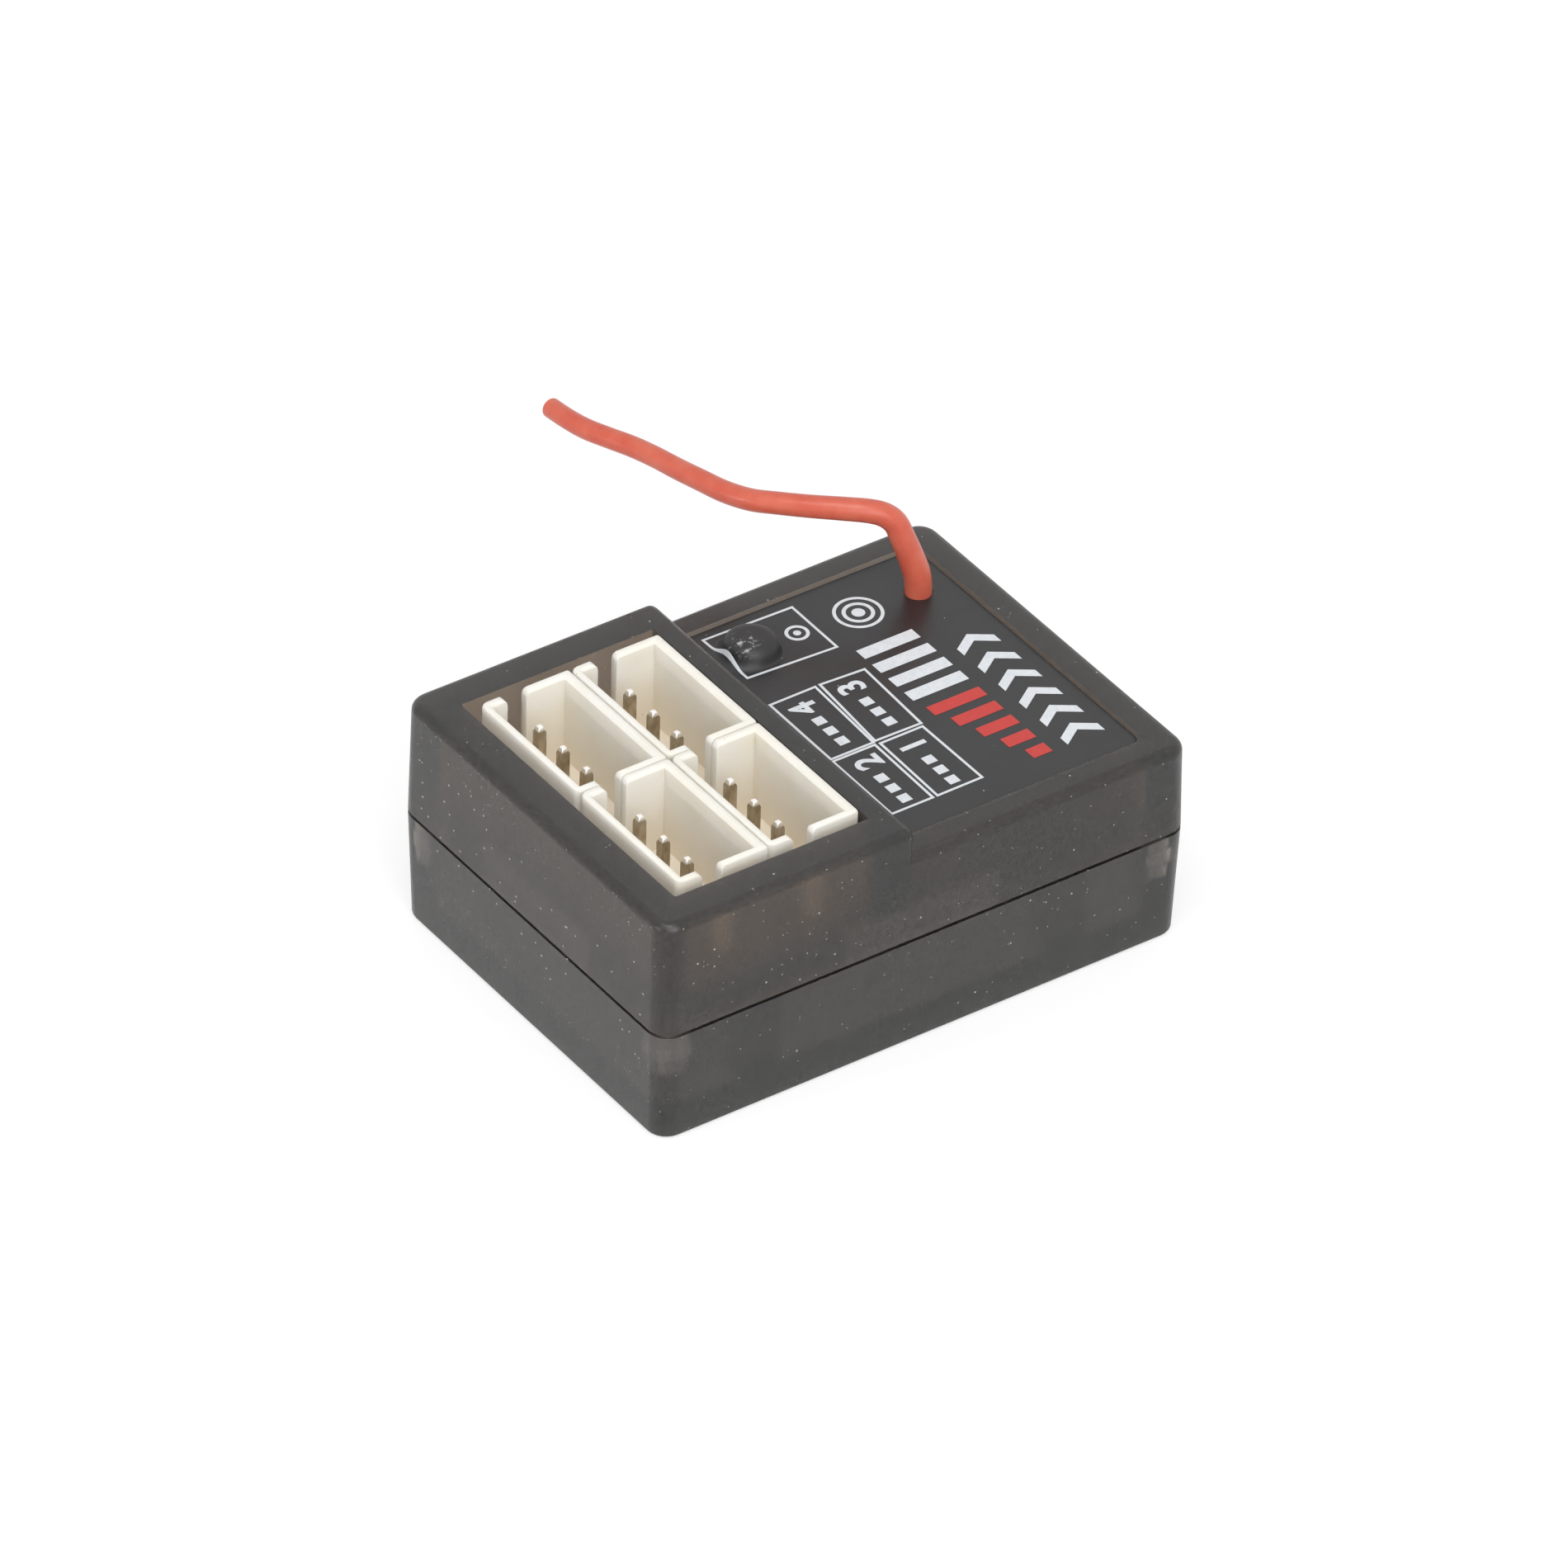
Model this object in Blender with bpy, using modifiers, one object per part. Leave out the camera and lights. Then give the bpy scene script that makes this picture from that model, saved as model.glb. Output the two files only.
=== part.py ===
# Four-channel radio control receiver: a two-part translucent case with a window for
# four three-pin headers, a label recess with a bind button under the film, a circuit
# board with its parts, and a short wire aerial.
# The origin is the centre of the case's underside. X runs along the case, from the
# headers (-X) to the label (+X), Y across it and Z up. All sizes are in metres.

import math

import bmesh
import bpy
from mathutils import Matrix, Vector

MM = 0.001

# Case, at the joint between its halves, where it is widest
CASE_LENGTH = 31.0 * MM
CASE_WIDTH = 22.4 * MM
CASE_CORNER_RADIUS = 1.1 * MM
JOINT_HEIGHT = 6.3 * MM
SHADOW_LINE_HEIGHT = 0.18 * MM
SHADOW_LINE_DEPTH = 0.45 * MM
JOINT_CLEARANCE = 0.02 * MM
WALL = 1.9 * MM
FLOOR = 1.3 * MM
ROOF = 1.0 * MM
CAVITY_CORNER_RADIUS = 0.5 * MM
BOTTOM_INSET = 0.18 * MM
TOP_INSET = 0.10 * MM
TOP_EDGE_RADIUS = 0.5 * MM
BOTTOM_EDGE_RADIUS = 0.25 * MM
STEP_HEIGHT = 1.5 * MM

# Corner pegs of the upper half, in pockets of the lower half
PEG_SIZE = 1.25 * MM
PEG_FROM_OUTSIDE = 0.95 * MM
PEG_DEPTH = 2.7 * MM
PEG_ROOT = 0.6 * MM
PEG_CORNER_RADIUS = 0.3 * MM
BEAD_PROUD = 0.12 * MM
BEAD_HEIGHT = 0.7 * MM
BEAD_ABOVE_TIP = 0.8 * MM
PEG_CLEARANCE = 0.1 * MM

# Tongues of the lower half, in grooves of the upper half
TONGUE_WIDTH = 8.8 * MM
TONGUE_THICKNESS = 0.8 * MM
TONGUE_RISE = 1.5 * MM
TONGUE_ROOT = 0.6 * MM
TONGUE_CLEARANCE = 0.1 * MM

# Circuit board and the posts it rests on
BOARD_HEIGHT = 5.85 * MM
BOARD_THICKNESS = 1.0 * MM
BOARD_CLEARANCE = 0.12 * MM
BOARD_CORNER_RADIUS = 1.6 * MM
SEAT_GAP = 0.05 * MM
POST_WIDTH = 2.2 * MM
POST_REACH = 1.3 * MM
POST_FROM_CENTRE = 9.0 * MM

# Header housings and pins
HEADER_WIDTH = 5.2 * MM
HEADER_LENGTH = 8.45 * MM
HEADER_HEIGHT = 6.08 * MM
HEADER_GAP = 0.05 * MM
HEADER_FROM_END = 2.73 * MM
HEADER_PROUD = 0.18 * MM
HEADER_CORNER_RADIUS = 0.42 * MM
HEADER_SHARP_RADIUS = 0.16 * MM
HEADER_TOP_EDGE = 0.14 * MM
THIN_WALL = 0.45 * MM
THICK_WALL = 0.52 * MM
END_WALL = 0.47 * MM
HEADER_FLOOR = 1.2 * MM
SLOT_FROM_THIN_SIDE = 1.38 * MM
SLOT_WIDTH = 1.1 * MM
SLOT_DEPTH = 4.2 * MM
SLOT_FLARE = 0.4 * MM
SLOT_EASE = 0.4 * MM
PIN_FROM_THIN_SIDE = 2.05 * MM
PIN_SIZE = 0.5 * MM
PIN_PITCH = 2.0 * MM
PIN_BELOW_RIM = 0.78 * MM
PIN_TAIL = 0.9 * MM
PIN_TIP = 0.12 * MM
PIN_TAPER = 0.35 * MM
PIN_CLEARANCE = 0.03 * MM
PIN_HOLE_RADIUS = 0.42 * MM

# Window round the headers, and its frame
WINDOW_GAP_END = 0.63 * MM
WINDOW_GAP_STEP = 0.14 * MM
WINDOW_GAP_SIDE = 0.6 * MM
WINDOW_FRAME = 1.37 * MM
FRAME_ABOVE_BOARD = 0.25 * MM
WINDOW_CORNER_RADIUS = 0.15 * MM

# Label recess and film
RECESS_DEPTH = 0.3 * MM
RECESS_FROM_SIDE = 1.65 * MM
RECESS_FROM_END = 1.75 * MM
RECESS_CORNER_RADIUS = 0.8 * MM
FILM_THICKNESS = 0.1 * MM
FILM_MARGIN = 0.12 * MM
GLUE_GAP = 0.02 * MM

# Bind switch and the dome that its button lifts in the film
BUTTON_FROM_STEP = 3.05 * MM
BUTTON_FROM_RECESS_SIDE = 2.78 * MM
BUTTON_RADIUS = 0.92 * MM
BUTTON_EDGE = 0.2 * MM
BUTTON_TRAVEL = 0.25 * MM
BUTTON_HOLE_RADIUS = 1.3 * MM
FLANGE_RADIUS = 1.25 * MM
FLANGE_THICKNESS = 0.35 * MM
SWITCH_SIZE = 4.5 * MM
SWITCH_HEIGHT = 2.5 * MM
SWITCH_EDGE = 0.25 * MM
SWITCH_WELL_RADIUS = 1.65 * MM
COVER_THICKNESS = 0.2 * MM
COVER_HOLE_RADIUS = 1.05 * MM
SNAP_DOME_RADIUS = 1.5 * MM
SNAP_DOME_SPARE = 0.17 * MM
SNAP_DOME_THICKNESS = 0.1 * MM
CONTACT_WIDTH = 0.7 * MM
CONTACT_THICKNESS = 0.15 * MM
CONTACT_REACH = 0.8 * MM
CONTACT_FROM_CENTRE = 1.4 * MM
FILM_DOME_HEIGHT = 0.93 * MM
FILM_DOME_TOP_RADIUS = 1.12 * MM
FILM_DOME_FOOT_RADIUS = 1.6 * MM
FILM_DOME_EDGE = 0.2 * MM
FILM_DOME_GAP = 0.04 * MM

# Aerial wire. Its route is a list of points, measured from the hole in the label in
# route units: along X, along Y, up, and the share of the full thickness there.
AERIAL_RADIUS = 0.69 * MM
AERIAL_HOLE_RADIUS = 0.95 * MM
AERIAL_FROM_RECESS_END = 2.03 * MM
AERIAL_FROM_RECESS_SIDE = 3.13 * MM
AERIAL_CORE_RADIUS = 0.22 * MM
AERIAL_STRIPPED = 1.2 * MM
AERIAL_RESOLUTION = 3
ROUTE_UNIT = 1.0 * MM
SOLDER_RADIUS = 0.8 * MM
SOLDER_HEIGHT = 0.55 * MM
AERIAL_ROUTE = (
    (0.0, 0.0, -2.9, 1.0),
    (0.0, 0.0, -0.3, 1.0),
    (-0.10, 0.0, 1.1, 1.0),
    (-0.40, 0.20, 2.3, 0.96),
    (-0.75, 0.43, 3.4, 0.93),
    (-1.0, 0.70, 4.2, 0.91),
    (-1.45, 0.98, 4.7, 0.90),
    (-2.1, 1.4, 4.95, 0.88),
    (-3.1, 2.2, 5.0, 0.86),
    (-4.3, 3.3, 4.95, 0.84),
    (-5.4, 4.5, 4.85, 0.83),
    (-6.2, 5.6, 4.7, 0.82),
    (-6.75, 7.0, 4.55, 0.81),
    (-7.1, 8.5, 4.45, 0.80),
    (-7.4, 10.1, 4.3, 0.79),
    (-7.7, 11.7, 4.2, 0.78),
    (-8.05, 13.1, 4.1, 0.78),
    (-8.5, 14.4, 4.0, 0.77),
    (-8.9, 15.8, 3.85, 0.77),
    (-9.1, 17.1, 3.75, 0.76),
    (-9.2, 18.6, 3.65, 0.76),
)

# Parts on the board. Along X they are placed from the step or from the cavity's end,
# along Y from the cavity's side, from the aerial or from the middle of the case.
INPUT_CAPACITOR_LENGTH = 3.5 * MM
INPUT_CAPACITOR_WIDTH = 2.8 * MM
INPUT_CAPACITOR_HEIGHT = 1.9 * MM
INPUT_CAPACITOR_FROM_STEP = 3.2 * MM
INPUT_CAPACITOR_FROM_SIDE = 2.7 * MM
OUTPUT_CAPACITOR_LENGTH = 2.0 * MM
OUTPUT_CAPACITOR_WIDTH = 1.25 * MM
OUTPUT_CAPACITOR_FROM_STEP = 3.0 * MM
OUTPUT_CAPACITOR_FROM_MIDDLE = 0.2 * MM
REGULATOR_LENGTH = 4.5 * MM
REGULATOR_WIDTH = 2.5 * MM
REGULATOR_HEIGHT = 1.5 * MM
REGULATOR_FROM_END = 3.3 * MM
REGULATOR_FROM_MIDDLE = 1.0 * MM
REGULATOR_TAB_WIDTH = 1.7 * MM
REGULATOR_TAB_REACH = 0.8 * MM
REGULATOR_TAB_THICKNESS = 0.35 * MM
SMALL_PART_LENGTH = 1.6 * MM
SMALL_PART_WIDTH = 0.8 * MM
CAPACITOR_HEIGHT = 0.8 * MM
RESISTOR_HEIGHT = 0.45 * MM
LIGHT_HEIGHT = 0.6 * MM
LIGHT_FROM_END = 1.6 * MM
LIGHT_FROM_SIDE = 1.9 * MM
LIGHT_RESISTOR_FROM_SIDE = 3.7 * MM
MATCHING_CAPACITOR_FROM_AERIAL = 2.2 * MM

# Parts under the board, placed in the same way
CONTROLLER_LENGTH = 6.5 * MM
CONTROLLER_WIDTH = 4.4 * MM
CONTROLLER_HEIGHT = 1.0 * MM
CONTROLLER_FROM_STEP = 0.6 * MM
CONTROLLER_FROM_MIDDLE = 3.2 * MM
RADIO_CHIP_SIDE = 4.0 * MM
RADIO_CHIP_HEIGHT = 0.85 * MM
RADIO_CHIP_FROM_MIDDLE = 3.6 * MM
CRYSTAL_LENGTH = 3.2 * MM
CRYSTAL_WIDTH = 2.5 * MM
CRYSTAL_HEIGHT = 0.75 * MM
CRYSTAL_FROM_MIDDLE = 0.6 * MM
RADIO_FROM_END = 3.2 * MM
UNDERSIDE_PARTS_FROM_STEP = 1.5 * MM
FILTER_CAPACITOR_FROM_MIDDLE = 2.0 * MM
PULL_UP_FROM_MIDDLE = 3.6 * MM
CHIP_EDGE = 0.12 * MM
TERMINAL_SHARE = 0.22
TERMINAL_PROUD = 0.03 * MM
LEG_COUNT = 10
LEG_PITCH = 0.65 * MM
LEG_WIDTH = 0.25 * MM
LEG_THICKNESS = 0.15 * MM
LEG_REACH = 1.0 * MM
LEG_FOOT = 0.5 * MM

# Mesh fineness
CORNER_SEGMENTS = 6
CASE_EDGE_SEGMENTS = 5
EDGE_SEGMENTS = 3
ROUND_STEPS = 32
SMALL_ROUND_STEPS = 12
ROUTE_STEPS = 2
WELD = 1e-7
CUT_EXTRA = 0.5 * MM

# Levels and places that follow from the sizes above
BOARD_TOP = BOARD_HEIGHT + BOARD_THICKNESS
HEADER_BOTTOM = BOARD_TOP + SEAT_GAP
HEADER_TOP = HEADER_BOTTOM + HEADER_HEIGHT
RAISED_TOP = HEADER_TOP - HEADER_PROUD
LOW_TOP = RAISED_TOP - STEP_HEIGHT
RECESS_FLOOR = LOW_TOP - RECESS_DEPTH
ROOF_UNDERSIDE = RECESS_FLOOR - ROOF
FILM_BOTTOM = RECESS_FLOOR + GLUE_GAP
FILM_TOP = FILM_BOTTOM + FILM_THICKNESS
HEADER_LEFT = -CASE_LENGTH / 2 + HEADER_FROM_END
HEADER_RIGHT = HEADER_LEFT + 2 * HEADER_WIDTH + HEADER_GAP
HEADER_HALF = HEADER_LENGTH + HEADER_GAP / 2
WINDOW_LEFT = HEADER_LEFT - WINDOW_GAP_END
WINDOW_RIGHT = HEADER_RIGHT + WINDOW_GAP_STEP
WINDOW_HALF = HEADER_HALF + WINDOW_GAP_SIDE
FRAME_BOTTOM = BOARD_TOP + FRAME_ABOVE_BOARD
STEP_X = WINDOW_RIGHT + WINDOW_FRAME
CAVITY_X = CASE_LENGTH / 2 - WALL
CAVITY_Y = CASE_WIDTH / 2 - WALL
RECESS_X = CASE_LENGTH / 2 - RECESS_FROM_END
RECESS_Y = CASE_WIDTH / 2 - RECESS_FROM_SIDE
BUTTON_AT = (STEP_X + BUTTON_FROM_STEP, RECESS_Y - BUTTON_FROM_RECESS_SIDE)
AERIAL_AT = (RECESS_X - AERIAL_FROM_RECESS_END, RECESS_Y - AERIAL_FROM_RECESS_SIDE)
SWITCH_BOTTOM = BOARD_TOP + SEAT_GAP + CONTACT_THICKNESS + SEAT_GAP
SWITCH_TOP = SWITCH_BOTTOM + SWITCH_HEIGHT
SNAP_DOME_RISE = BUTTON_TRAVEL + SNAP_DOME_SPARE
SNAP_DOME_HEIGHT = SNAP_DOME_RISE + SNAP_DOME_THICKNESS
SNAP_DOME_FOOT = SWITCH_TOP - FLANGE_THICKNESS - SEAT_GAP - SNAP_DOME_HEIGHT
COVER_TOP = SWITCH_TOP + SEAT_GAP + COVER_THICKNESS
FILM_DOME_TOP = FILM_TOP + FILM_DOME_HEIGHT
BUTTON_TOP = FILM_DOME_TOP - FILM_THICKNESS - FILM_DOME_GAP
PEG_CENTRE = (
    CASE_LENGTH / 2 - PEG_FROM_OUTSIDE - PEG_SIZE / 2,
    CASE_WIDTH / 2 - PEG_FROM_OUTSIDE - PEG_SIZE / 2,
)

# Place on the board, and length along X, width along Y and height of each part there
INPUT_CAPACITOR = {
    "at": (STEP_X + INPUT_CAPACITOR_FROM_STEP, INPUT_CAPACITOR_FROM_SIDE - CAVITY_Y),
    "size": (INPUT_CAPACITOR_LENGTH, INPUT_CAPACITOR_WIDTH, INPUT_CAPACITOR_HEIGHT),
}
OUTPUT_CAPACITOR = {
    "at": (STEP_X + OUTPUT_CAPACITOR_FROM_STEP, OUTPUT_CAPACITOR_FROM_MIDDLE),
    "size": (OUTPUT_CAPACITOR_WIDTH, OUTPUT_CAPACITOR_LENGTH, CAPACITOR_HEIGHT),
}
REGULATOR = {
    "at": (CAVITY_X - REGULATOR_FROM_END, -REGULATOR_FROM_MIDDLE),
    "size": (REGULATOR_LENGTH, REGULATOR_WIDTH, REGULATOR_HEIGHT),
}
STATUS_LIGHT = {
    "at": (CAVITY_X - LIGHT_FROM_END, LIGHT_FROM_SIDE - CAVITY_Y),
    "size": (SMALL_PART_LENGTH, SMALL_PART_WIDTH, LIGHT_HEIGHT),
}
LIGHT_RESISTOR = {
    "at": (CAVITY_X - LIGHT_FROM_END, LIGHT_RESISTOR_FROM_SIDE - CAVITY_Y),
    "size": (SMALL_PART_LENGTH, SMALL_PART_WIDTH, RESISTOR_HEIGHT),
}
MATCHING_CAPACITOR = {
    "at": (AERIAL_AT[0], AERIAL_AT[1] - MATCHING_CAPACITOR_FROM_AERIAL),
    "size": (SMALL_PART_LENGTH, SMALL_PART_WIDTH, CAPACITOR_HEIGHT),
}
CONTROLLER = {
    "at": (STEP_X + CONTROLLER_FROM_STEP, -CONTROLLER_FROM_MIDDLE),
    "size": (CONTROLLER_WIDTH, CONTROLLER_LENGTH, CONTROLLER_HEIGHT),
}
RADIO_CHIP = {
    "at": (CAVITY_X - RADIO_FROM_END, RADIO_CHIP_FROM_MIDDLE),
    "size": (RADIO_CHIP_SIDE, RADIO_CHIP_SIDE, RADIO_CHIP_HEIGHT),
}
CRYSTAL = {
    "at": (CAVITY_X - RADIO_FROM_END, -CRYSTAL_FROM_MIDDLE),
    "size": (CRYSTAL_LENGTH, CRYSTAL_WIDTH, CRYSTAL_HEIGHT),
}
FILTER_CAPACITOR = {
    "at": (STEP_X + UNDERSIDE_PARTS_FROM_STEP, FILTER_CAPACITOR_FROM_MIDDLE),
    "size": (SMALL_PART_LENGTH, SMALL_PART_WIDTH, CAPACITOR_HEIGHT),
}
PULL_UP_RESISTOR = {
    "at": (STEP_X + UNDERSIDE_PARTS_FROM_STEP, PULL_UP_FROM_MIDDLE),
    "size": (SMALL_PART_LENGTH, SMALL_PART_WIDTH, RESISTOR_HEIGHT),
}


def clear_scene():
    for obj in list(bpy.data.objects):
        bpy.data.objects.remove(obj, do_unlink=True)


def new_collection(name):
    collection = bpy.data.collections.new(name)
    bpy.context.scene.collection.children.link(collection)
    return collection


def new_material(name, colour, roughness, metallic=0.0, alpha=1.0):
    material = bpy.data.materials.new(name)
    material.use_nodes = True
    shader = material.node_tree.nodes["Principled BSDF"]
    shader.inputs["Base Color"].default_value = (*colour, 1.0)
    shader.inputs["Roughness"].default_value = roughness
    shader.inputs["Metallic"].default_value = metallic
    shader.inputs["Alpha"].default_value = alpha
    material.diffuse_color = (*colour, alpha)
    return material


# An object from a bmesh. Without a material it is a helper: a cutter or a shape to join.
def add_object(name, bm, material=None):
    mesh = bpy.data.meshes.new(name)
    bm.to_mesh(mesh)
    bm.free()
    return add_mesh_object(name, mesh, material)


def add_mesh_object(name, mesh, material=None):
    obj = bpy.data.objects.new(name, mesh)
    if material is None:
        helpers.objects.link(obj)
        obj.hide_render = True
        obj.display_type = "WIRE"
        return obj
    parts.objects.link(obj)
    mesh.materials.append(material)
    mesh.shade_smooth()
    mesh.set_sharp_from_angle(angle=math.radians(35))
    return obj


def boolean(obj, other, operation):
    modifier = obj.modifiers.new(f"{operation.title()} {other.name}", "BOOLEAN")
    modifier.operation = operation
    modifier.object = other
    modifier.solver = "EXACT"


def cut(obj, *others):
    for other in others:
        boolean(obj, other, "DIFFERENCE")


def join(obj, *others):
    for other in others:
        boolean(obj, other, "UNION")


def bevel_where(bm, test, radius, segments):
    edges = [edge for edge in bm.edges if test(*(vert.co for vert in edge.verts))]
    bmesh.ops.bevel(
        bm,
        geom=edges,
        offset=radius,
        offset_type="OFFSET",
        segments=segments,
        profile=0.5,
        affect="EDGES",
        clamp_overlap=True,
    )


def upright(a, b):
    return abs(a.z - b.z) > 10 * abs((a - b).xy.length)


def block_mesh(low, high):
    bm = bmesh.new()
    bmesh.ops.create_cube(bm, size=1.0)
    size = Vector(high) - Vector(low)
    centre = (Vector(high) + Vector(low)) / 2
    bmesh.ops.transform(bm, matrix=Matrix.Diagonal((*size, 1.0)), verts=bm.verts)
    bmesh.ops.translate(bm, vec=centre, verts=bm.verts)
    return bm


# A block with rounded upright edges and, where wanted, rounded edges at its top.
def block(name, low, high, material=None, corner=0.0, top_edge=0.0, corner_segments=EDGE_SEGMENTS):
    bm = block_mesh(low, high)
    if corner:
        bevel_where(bm, upright, corner, corner_segments)
    if top_edge:
        top = high[2]
        bevel_where(bm, lambda a, b: min(a.z, b.z) > top - WELD, top_edge, EDGE_SEGMENTS - 1)
    return add_object(name, bm, material)


def centred_block(name, centre, size, bottom, material=None, **rounding):
    low = (centre[0] - size[0] / 2, centre[1] - size[1] / 2, bottom)
    high = (centre[0] + size[0] / 2, centre[1] + size[1] / 2, bottom + size[2])
    return block(name, low, high, material, **rounding)


def cylinder(name, centre, radius, bottom, top, material=None, steps=ROUND_STEPS, top_radius=None):
    bm = bmesh.new()
    bmesh.ops.create_cone(
        bm,
        cap_ends=True,
        segments=steps,
        radius1=radius,
        radius2=radius if top_radius is None else top_radius,
        depth=top - bottom,
    )
    bmesh.ops.translate(bm, vec=(centre[0], centre[1], (top + bottom) / 2), verts=bm.verts)
    return add_object(name, bm, material)


# A turned piece: the profile's points are (radius, height), from the axis at the top,
# down the outer side and back to the axis.
def turned(name, centre, profile, material=None, steps=ROUND_STEPS):
    mesh = bpy.data.meshes.new(name)
    points = [(radius, 0.0, height) for radius, height in profile]
    mesh.from_pydata(points, [(i, i + 1) for i in range(len(points) - 1)], [])
    obj = add_mesh_object(name, mesh, material)
    screw = obj.modifiers.new("Turn", "SCREW")
    screw.axis = "Z"
    screw.angle = math.tau
    screw.steps = steps
    screw.render_steps = steps
    screw.use_merge_vertices = True
    screw.merge_threshold = WELD
    obj.location = (centre[0], centre[1], 0.0)
    return obj


def arc(centre, radius, start, end, steps):
    angles = [start + (end - start) * i / steps for i in range(steps + 1)]
    return [(centre[0] + radius * math.cos(a), centre[1] + radius * math.sin(a)) for a in angles]


# A rectangle's outline, counter-clockwise, with its +X corners rounded.
def label_outline(x0, x1, half_width, radius):
    centre_x = x1 - radius
    centre_y = half_width - radius
    low = arc((centre_x, -centre_y), radius, -math.pi / 2, 0.0, CORNER_SEGMENTS)
    high = arc((centre_x, centre_y), radius, 0.0, math.pi / 2, CORNER_SEGMENTS)
    return [(x0, -half_width), *low, *high, (x0, half_width)]


# A flat piece of the given outline, as a filled 2D curve that is then made a mesh.
def flat_piece(name, outline, bottom, top, material=None, turn=None):
    curve = bpy.data.curves.new(name, "CURVE")
    curve.dimensions = "2D"
    curve.fill_mode = "BOTH"
    curve.extrude = (top - bottom) / 2
    spline = curve.splines.new("POLY")
    spline.points.add(len(outline) - 1)
    for point, (x, y) in zip(spline.points, outline):
        point.co = (x, y, 0.0, 1.0)
    spline.use_cyclic_u = True
    matrix = (turn or Matrix()) @ Matrix.Translation((0.0, 0.0, (top + bottom) / 2))
    return curve_to_mesh(name, curve, material, matrix)


def curve_to_mesh(name, curve, material, matrix=None):
    guide = bpy.data.objects.new(f"{name}_curve", curve)
    helpers.objects.link(guide)
    mesh = bpy.data.meshes.new_from_object(
        guide.evaluated_get(bpy.context.evaluated_depsgraph_get())
    )
    bpy.data.objects.remove(guide)
    bm = bmesh.new()
    bm.from_mesh(mesh)
    bmesh.ops.remove_doubles(bm, verts=bm.verts, dist=WELD)
    bmesh.ops.recalc_face_normals(bm, faces=bm.faces)
    bm.transform(matrix or Matrix())
    bm.to_mesh(mesh)
    bm.free()
    mesh.name = name
    return add_mesh_object(name, mesh, material)


# How far the case's drafted side stands in from the joint's outline at a height.
def draft_inset(height):
    if height < JOINT_HEIGHT:
        return BOTTOM_INSET * (1 - height / JOINT_HEIGHT)
    return TOP_INSET * (height - JOINT_HEIGHT) / (RAISED_TOP - JOINT_HEIGHT)


def apply_draft(bm):
    for vert in bm.verts:
        inset = draft_inset(vert.co.z)
        if abs(vert.co.x) > CASE_LENGTH / 2 - WELD:
            vert.co.x -= math.copysign(inset, vert.co.x)
        vert.co.y -= math.copysign(inset, vert.co.y)


def each_corner():
    return [(sx, sy) for sx in (-1, 1) for sy in (-1, 1)]


def peg(name, corner, grow, tip_extra):
    centre = (corner[0] * PEG_CENTRE[0], corner[1] * PEG_CENTRE[1])
    tip = JOINT_HEIGHT - PEG_DEPTH
    side = PEG_SIZE + 2 * grow
    shaft = centred_block(
        f"{name}_shaft",
        centre,
        (side, side, PEG_DEPTH + PEG_ROOT + tip_extra),
        tip - tip_extra,
        corner=PEG_CORNER_RADIUS,
    )
    bead_side = side + 2 * BEAD_PROUD
    bead = centred_block(
        f"{name}_bead",
        centre,
        (bead_side, bead_side, BEAD_HEIGHT + 2 * grow),
        tip + BEAD_ABOVE_TIP - grow,
        corner=PEG_CORNER_RADIUS,
    )
    return shaft, bead


# The flat tongue in the middle of one side, flush with the inside of the wall: side is
# (1, 0), (-1, 0), (0, 1) or (0, -1).
def tongue(name, side, grow, root, rise):
    wall = CAVITY_X if side[0] else CAVITY_Y
    inner = wall - grow
    outer = wall + TONGUE_THICKNESS + grow
    middle = (outer + inner) / 2
    along = TONGUE_WIDTH + 2 * grow
    across = outer - inner
    size = (across, along) if side[0] else (along, across)
    centre = (side[0] * middle, side[1] * middle)
    return centred_block(name, centre, (*size, root + rise), JOINT_HEIGHT - root)


SIDES = {"right": (1, 0), "left": (-1, 0), "far": (0, 1), "near": (0, -1)}


# Pulls faces out of a mesh by an offset, with new sides round them.
def draw_out(bm, faces, offset):
    drawn = bmesh.ops.extrude_face_region(bm, geom=faces)["geom"]
    bmesh.ops.delete(bm, geom=faces, context="FACES_ONLY")
    verts = [item for item in drawn if isinstance(item, bmesh.types.BMVert)]
    bmesh.ops.translate(bm, vec=offset, verts=verts)


# The land on which the halves meet, set in from the outside so that a line of shadow
# shows round the case. direction is 1 for the lower half, whose land faces up.
def add_joint_land(bm, direction):
    rise = (SHADOW_LINE_HEIGHT - JOINT_CLEARANCE) / 2
    faces = [face for face in bm.faces if face.normal.z * direction > 0.9]
    land = min(faces, key=lambda face: abs(face.calc_center_median().z - JOINT_HEIGHT))
    bmesh.ops.inset_region(bm, faces=[land], thickness=SHADOW_LINE_DEPTH, use_even_offset=True)
    draw_out(bm, [land], (0.0, 0.0, direction * rise))


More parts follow.
